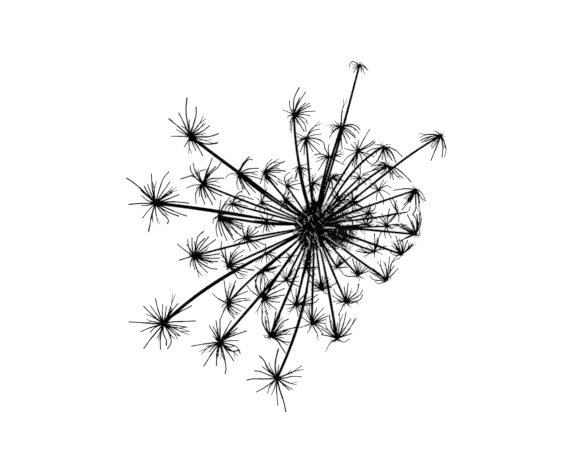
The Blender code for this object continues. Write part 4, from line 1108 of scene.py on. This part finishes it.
paler = add_node(
    dried_ray,
    "ShaderNodeMix",
    {"data_type": "RGBA"},
    {7: linear(RAY_GLINT)},
    {0: (glint_share, "Value"), 6: (ray_nodes["ShaderNodeValToRGB"], "Color")},
)
# Painted highlight: the upward-facing top of the marked rays by the hub is painted near white
top_glint_mark = add_node(dried_ray, "ShaderNodeAttribute", {"attribute_name": "top_glint"})
palest = add_node(
    dried_ray,
    "ShaderNodeMix",
    {"data_type": "RGBA"},
    {7: linear(RAY_GLINT)},
    {0: (top_glint_mark, "Fac"), 6: (paler, 2)},
)
dried_ray.node_tree.links.new(palest.outputs[2], ray_nodes["ShaderNodeBsdfPrincipled"].inputs["Base Color"])


ray = drawn_out("ray", RAY_COLUMNS, RAY_RINGS)
bpy.ops.object.mode_set(mode="EDIT")
pick(ray, lambda corner: column_of(corner.co, RAY_COLUMNS) % RAY_RIB_EVERY == 0)
bpy.ops.transform.resize(value=(RAY_GROOVE_SHARE, RAY_GROOVE_SHARE, 1), center_override=(0, 0, 0))
bpy.ops.object.mode_set(mode="OBJECT")

knot_model = drawn_out("knot", 12, KNOT_RINGS)
closed_pedicel = drawn_out("closed_pedicel", 5, CLOSED_RINGS)
broken_pedicel = drawn_out("broken_pedicel", 5, BROKEN_RINGS)


def split_branch(side):
    """One branch of the split thread, which leans out more and more on its side."""
    branch = drawn_out("branch", 4, [(height - 0.58, radius) for height, radius in SPLIT_RINGS])
    branch.location.z = 0.58
    settle(branch)
    bpy.ops.object.mode_set(mode="EDIT")
    for (height, _), lean in zip(SPLIT_RINGS[1:], SPLIT_LEAN):
        pick(branch, lambda corner: abs(corner.co.z - height) < 0.01)
        bpy.ops.transform.translate(value=(side * lean, 0, 0))
    bpy.ops.object.mode_set(mode="OBJECT")
    return branch


split_pedicel = joined(
    "split_pedicel", [drawn_out("pedicel", 5, PEDICEL_RINGS), split_branch(1), split_branch(-1)]
)
bractlet = drawn_out("bractlet", 4, [(0, 1.2), (0.2, 1.1), (0.5, 0.8), (0.8, 0.5), (1, 0.15)])
ray_bristle = drawn_out("ray_bristle", 3, BRISTLE_RINGS)
spray_models = (ray, knot_model, closed_pedicel, broken_pedicel, split_pedicel, bractlet, ray_bristle)
for model in spray_models:
    model.data.materials.clear()
    model.data.materials.append(dried_ray if model == ray else dried_pedicel)


def read_spray(node):
    """A packed spray's ray, from its foot to its knot, its radius, and the tips of its pedicels."""
    shape = bmesh.new()
    shape.from_mesh(node.data)
    bmesh.ops.remove_doubles(shape, verts=shape.verts, dist=1e-7)
    side = PACKED_TIP_RADIUS * math.sqrt(3)
    caps = [
        face
        for face in shape.faces
        if all(abs(edge.calc_length() / side - 1) < 0.03 for edge in face.edges)
    ]
    # The knot is where the lines square to the pedicels' cut ends meet
    matrix = np.zeros((3, 3))
    right = np.zeros(3)
    for face in caps:
        way = np.array(face.normal)
        across = np.eye(3) - np.outer(way, way)
        matrix += across
        right += across @ np.array(face.calc_center_median())
    knot = Vector(np.linalg.solve(matrix, right))
    tip_corners = {corner for face in caps for corner in face.verts}
    corners = [corner.co.copy() for corner in shape.verts if corner not in tip_corners]
    corners.sort(key=lambda place: -(place - knot).length)
    reach = (corners[0] - knot).length
    far = [place for place in corners if (place - knot).length > 0.22 * reach]
    line = [sum(far[start : start + 6], Vector()) / 6 for start in range(0, len(far), 6)]
    radius = (far[0] - line[0]).length
    tips = [face.calc_center_median() for face in caps]
    shape.free()
    return line + [knot], radius, tips


def smooth_line(points, steps):
    """A smooth curve through the ray's four points."""
    powers = np.vander(RAY_LINE_SHARES, 4)
    bends = np.linalg.solve(powers, np.array([tuple(point) for point in points]))
    return [Vector(place) for place in np.vander(np.linspace(0, 1, steps), 4) @ bends]


def read_line(knot, tip, pixels):
    """A pedicel over the points read in the photograph, lifted more and more on its way to the tip."""
    flat = [over(*pixels[place : place + 2]) for place in range(0, len(pixels) - 2, 2)]
    points = [knot]
    for place in flat:
        share = (place - knot.xy).length / ((place - knot.xy).length + (tip.xy - place).length)
        points.append(Vector((*place, knot.z + (tip.z - knot.z) * share**1.3)))
    return curve_through(points + [tip], 4)


def pedicel_line(knot, tip, facing, draw):
    """A pedicel that wasn't read: it leaves the knot sideways and bows towards the way the umbel faces, with
    a kink at its joint and a curl at its end."""
    reach = tip - knot
    length = reach.length
    way = reach.normalized()
    away = way * facing.dot(way) - facing
    sideways = way.cross(Vector([draw.uniform(-1, 1) for _ in range(3)])).normalized()
    bow = away * PEDICEL_BOW * draw.uniform(0.3, 1.3)
    bow += sideways * draw.uniform(-PEDICEL_STRAY, PEDICEL_STRAY)
    kink = sideways * draw.uniform(-PEDICEL_KINK, PEDICEL_KINK)
    curl = sideways * draw.uniform(-1, 1) + away * draw.uniform(-0.6, 0.6)
    line = []
    for step in range(11):
        share = 0.04 + 0.96 * step / 10
        tent = min(share / JOINT_SHARE, (1 - share) / (1 - JOINT_SHARE))
        bent = bow * 2 * share * (1 - share) + kink * tent + curl * max(0, share - CURL_START) ** 2
        line.append(knot + reach * share + bent * length)
    return line


def companions(ways, facing, wanted, flattest, draw):
    """More directions of pedicels, each as far as can be drawn from those that are there. What they span
    sideways, seen from above, is at most the flattest share of their length."""
    spread = max(way.angle(facing) for way in ways)
    lowest = math.cos(min(spread, WIDEST_UMBEL))
    across = facing.orthogonal().normalized()
    ways = list(ways)
    found = []
    while len(found) < wanted:
        drawn = []
        while len(drawn) < WAYS_DRAWN:
            tilt = math.acos(draw.uniform(lowest, 1))
            around = spun(across, facing, draw.uniform(0, 2 * math.pi))
            way = facing * math.cos(tilt) + around * math.sin(tilt)
            if way.xy.length <= flattest:
                drawn.append((min(way.angle(other) for other in ways), tuple(way)))
        way = Vector(max(drawn)[1])
        ways.append(way)
        found.append(way)
    return found


def read_ones(knot, facing, usual, tips, draw):
    """The lines of the spray's pedicels that were read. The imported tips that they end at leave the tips."""
    nearest = min(READ_PEDICELS, key=lambda pixel: (over(*pixel) - knot.xy).length)
    if (over(*nearest) - knot.xy).length > PIXEL:
        return []
    lines = []
    for pixels in READ_PEDICELS[nearest]:
        flat = over(*pixels[-2:])
        across = (flat - knot.xy).length
        rise = max(LEAST_RISE * across, math.sqrt(max(0, usual**2 - across**2)) * draw.uniform(0.3, 1))
        if draw.random() > (1 + facing.z) / 2:
            rise = -rise
        tip = Vector((*flat, max(knot.z + rise, LOWEST_TIP)))
        for packed in list(tips):
            if (packed.xy - flat).length < SAME_TIP:
                tip = packed
                tips.remove(packed)
                break
        lines.append(read_line(knot, tip, pixels))
    return lines


# Each ray's skin has its own place in the pattern of painted highlight streaks
glint_draw = random.Random(GLINT_SEED)


def mark_skin(stem, knot):
    """Gives a ray's skin its place in the pattern of painted highlight streaks, and marks its top by the hub
    for a painted highlight, if it was seen so in the photograph."""
    places = stem.data.attributes.new("glint_place", "FLOAT", "POINT")
    places.data.foreach_set("value", [glint_draw.uniform(0, 20)] * len(places.data))
    marks = stem.data.attributes.new("top_glint", "FLOAT", "POINT")
    for pixel, (start, end) in TOP_GLINT_RAYS.items():
        if (over(*pixel) - knot.xy).length < PIXEL:
            for corner, mark in zip(stem.data.vertices, marks.data):
                away = (corner.co.xy - HUB.xy).length / PIXEL
                mark.value = start < away < end and corner.normal.z > 0.5


def grown_spray(name, node, draw):
    """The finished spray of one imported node."""
    line, radius, tips = read_spray(node)
    foot, knot = line[0], line[-1]
    facing = sum(((tip - knot).normalized() for tip in tips), Vector()).normalized()
    lengths = sorted((tip - knot).length for tip in tips)
    usual = lengths[len(lengths) // 2]
    size = min(1, max(0, (usual - SMALLEST_REACH) / REACH_RANGE))
    ways = [(tip - knot).normalized() for tip in tips]
    way = smooth_line(line, 28)
    sunk = foot + (HUB - foot).normalized() * RAY_FOOT_DEPTH
    narrow = min(radius, RAY_NARROWEST)
    widths = [narrow, narrow, (narrow + radius) / 2, radius, radius, radius * 0.94, radius * 0.9]
    parts = [laid_along(ray, [sunk, (sunk + foot) / 2] + way, widths, draw.uniform(0, math.pi))]
    mark_skin(parts[0], knot)
    for _ in range(RAY_BRISTLES):
        place = draw.randrange(2, 27)
        along = (way[place] - way[place - 1]).normalized()
        out = along.cross(Vector([draw.uniform(-1, 1) for _ in range(3)])).normalized()
        start = way[place] + out * narrow * 0.7
        tip = start + (out + along * draw.uniform(0.2, 1)).normalized() * draw.uniform(*RAY_BRISTLE_LENGTHS)
        parts.append(laid_along(ray_bristle, [start, start.lerp(tip, 0.5), tip], [RAY_BRISTLE_RADIUS]))
    knot_radius = KNOT_RADII[0] + (KNOT_RADII[1] - KNOT_RADII[0]) * size
    height = KNOT_HEIGHT * (0.6 + 0.4 * size)
    if (over(*BUD_PIXEL) - knot.xy).length < PIXEL:
        knot_radius *= BUD_SWELL
        height *= BUD_SWELL
    base = knot - facing * height * 0.65
    spine = [base, base + facing * height * 0.5, base + facing * height]
    parts.append(laid_along(knot_model, spine, [knot_radius]))
    thickness = PEDICEL_RADII[0] + (PEDICEL_RADII[1] - PEDICEL_RADII[0]) * size
    lines = read_ones(knot, facing, usual, tips, draw)
    fewest, full, flattest = ADDED_TO_READ if lines else ADDED_TO_UNREAD
    lines += [pedicel_line(knot, tip, facing, draw) for tip in tips]
    wanted = max(fewest, round(full * (1 + size)) - len(lines))
    for out in companions(ways, facing, wanted, flattest, draw):
        tip = knot + out * usual * draw.uniform(0.6, 1.1)
        lines.append(pedicel_line(knot, tip, facing, draw))
    for drawn in lines:
        kind = draw.choices((closed_pedicel, split_pedicel, broken_pedicel), PEDICEL_SHARES)[0]
        stretch = min(1.3, (drawn[-1] - knot).xy.length / usual)
        width = thickness * draw.uniform(0.85, 1.1) * (0.72 + 0.4 * stretch)
        parts.append(laid_along(kind, drawn, [width], draw.uniform(0, 3)))
    across = facing.orthogonal().normalized()
    for index in range(BRACTLET_COUNT):
        out = spun(across, facing, (index + draw.uniform(-0.3, 0.3)) * 2 * math.pi / BRACTLET_COUNT)
        reach = usual * draw.uniform(*BRACTLET_REACH)
        start = knot - facing * height * 0.3 + out * knot_radius * 0.6
        hang = draw.uniform(0.3, 0.9)
        line = [start + (out * s - facing * hang * s**2) * reach for s in (0, 0.3, 0.6, 1)]
        parts.append(laid_along(bractlet, line, [BRACTLET_RADIUS]))
    return joined(name, parts)


spray_names = sorted(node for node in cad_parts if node.startswith("ray_spray_"))
for name in spray_names:
    spray = grown_spray(name.replace("ray_spray", "dried_spray"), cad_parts[name], draw)
    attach(spray, "root")
    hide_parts(name)
for model in spray_models:
    bpy.data.objects.remove(model)


# Table: a plain matt white board under the head, wide enough to fill the picture from every side. It glows
# a little by itself, so that it stays white between the stems.

TABLE_SIDE = 4
TABLE_WHITE = "#f8f8f7"
BOARD_GLOW = 0.56

bpy.ops.object.select_all(action="DESELECT")
bpy.ops.mesh.primitive_plane_add(size=TABLE_SIDE)
table = bpy.context.object
table.name = "white_table"
white_board = new_material("white_board")
board = add_node(
    white_board,
    "ShaderNodeBsdfPrincipled",
    inputs={
        "Base Color": linear(TABLE_WHITE),
        "Roughness": 0.9,
        "Specular IOR Level": 0.1,
        "Emission Color": linear(TABLE_WHITE),
        "Emission Strength": BOARD_GLOW,
    },
)
add_node(white_board, "ShaderNodeOutputMaterial", links={"Surface": (board, "BSDF")})
table.data.materials.append(white_board)


# Light: a white room, bright all round and dimmer overhead, and one soft lamp far up, straight above the
# head, so that shadows hide under the stems that cast them and the board stays white.

HORIZON = 0.4
ZENITH = 0.12
LAMP_HEIGHT = 10
LAMP_SIZE = 0.7
LAMP_POWER = 560

world = bpy.data.worlds.new("white_room")
bpy.context.scene.world = world
world.use_nodes = True
sky_place = add_node(world, "ShaderNodeTexCoord")
sky_height = add_node(world, "ShaderNodeSeparateXYZ", links={"Vector": (sky_place, "Object")})
sky = add_node(
    world,
    "ShaderNodeMapRange",
    inputs={"From Min": 0.15, "From Max": 0.8, "To Min": HORIZON, "To Max": ZENITH},
    links={"Value": (sky_height, "Z")},
)
world.node_tree.links.new(sky.outputs["Result"], world.node_tree.nodes["Background"].inputs["Strength"])
world.node_tree.nodes["Background"].inputs["Color"].default_value = (1, 1, 1, 1)
bpy.ops.object.light_add(type="AREA", location=(0, 0, LAMP_HEIGHT))
lamp = bpy.context.object
lamp.name = "soft_lamp"
lamp.data.size = LAMP_SIZE
lamp.data.energy = LAMP_POWER
bpy.context.scene.view_settings.view_transform = "Standard"


# Camera: straight above the head, looking down, far off with a long lens, so that the head has the outline
# and the place in the frame that it has in the photograph.

PHOTO_WIDTH = 562
PHOTO_HEIGHT = 450
MIDDLE_HEIGHT = 20 * MM
CAMERA_DISTANCE = 5
# The picture's rows stand this much lower than the readings, in pixels
PICTURE_DROP = 0.25
SENSOR_WIDTH = 36

bpy.ops.object.camera_add(
    location=(
        HUB.x + (PHOTO_WIDTH / 2 - HUB_PIXEL[0]) * PIXEL,
        HUB.y + (HUB_PIXEL[1] - PHOTO_HEIGHT / 2 + PICTURE_DROP) * PIXEL,
        MIDDLE_HEIGHT + CAMERA_DISTANCE,
    ),
    rotation=(0, 0, 0),
)
camera = bpy.context.object
camera.data.sensor_width = SENSOR_WIDTH
camera.data.lens = SENSOR_WIDTH * CAMERA_DISTANCE / (PHOTO_WIDTH * PIXEL)
camera.data.clip_end = 2 * CAMERA_DISTANCE
bpy.context.scene.camera = camera
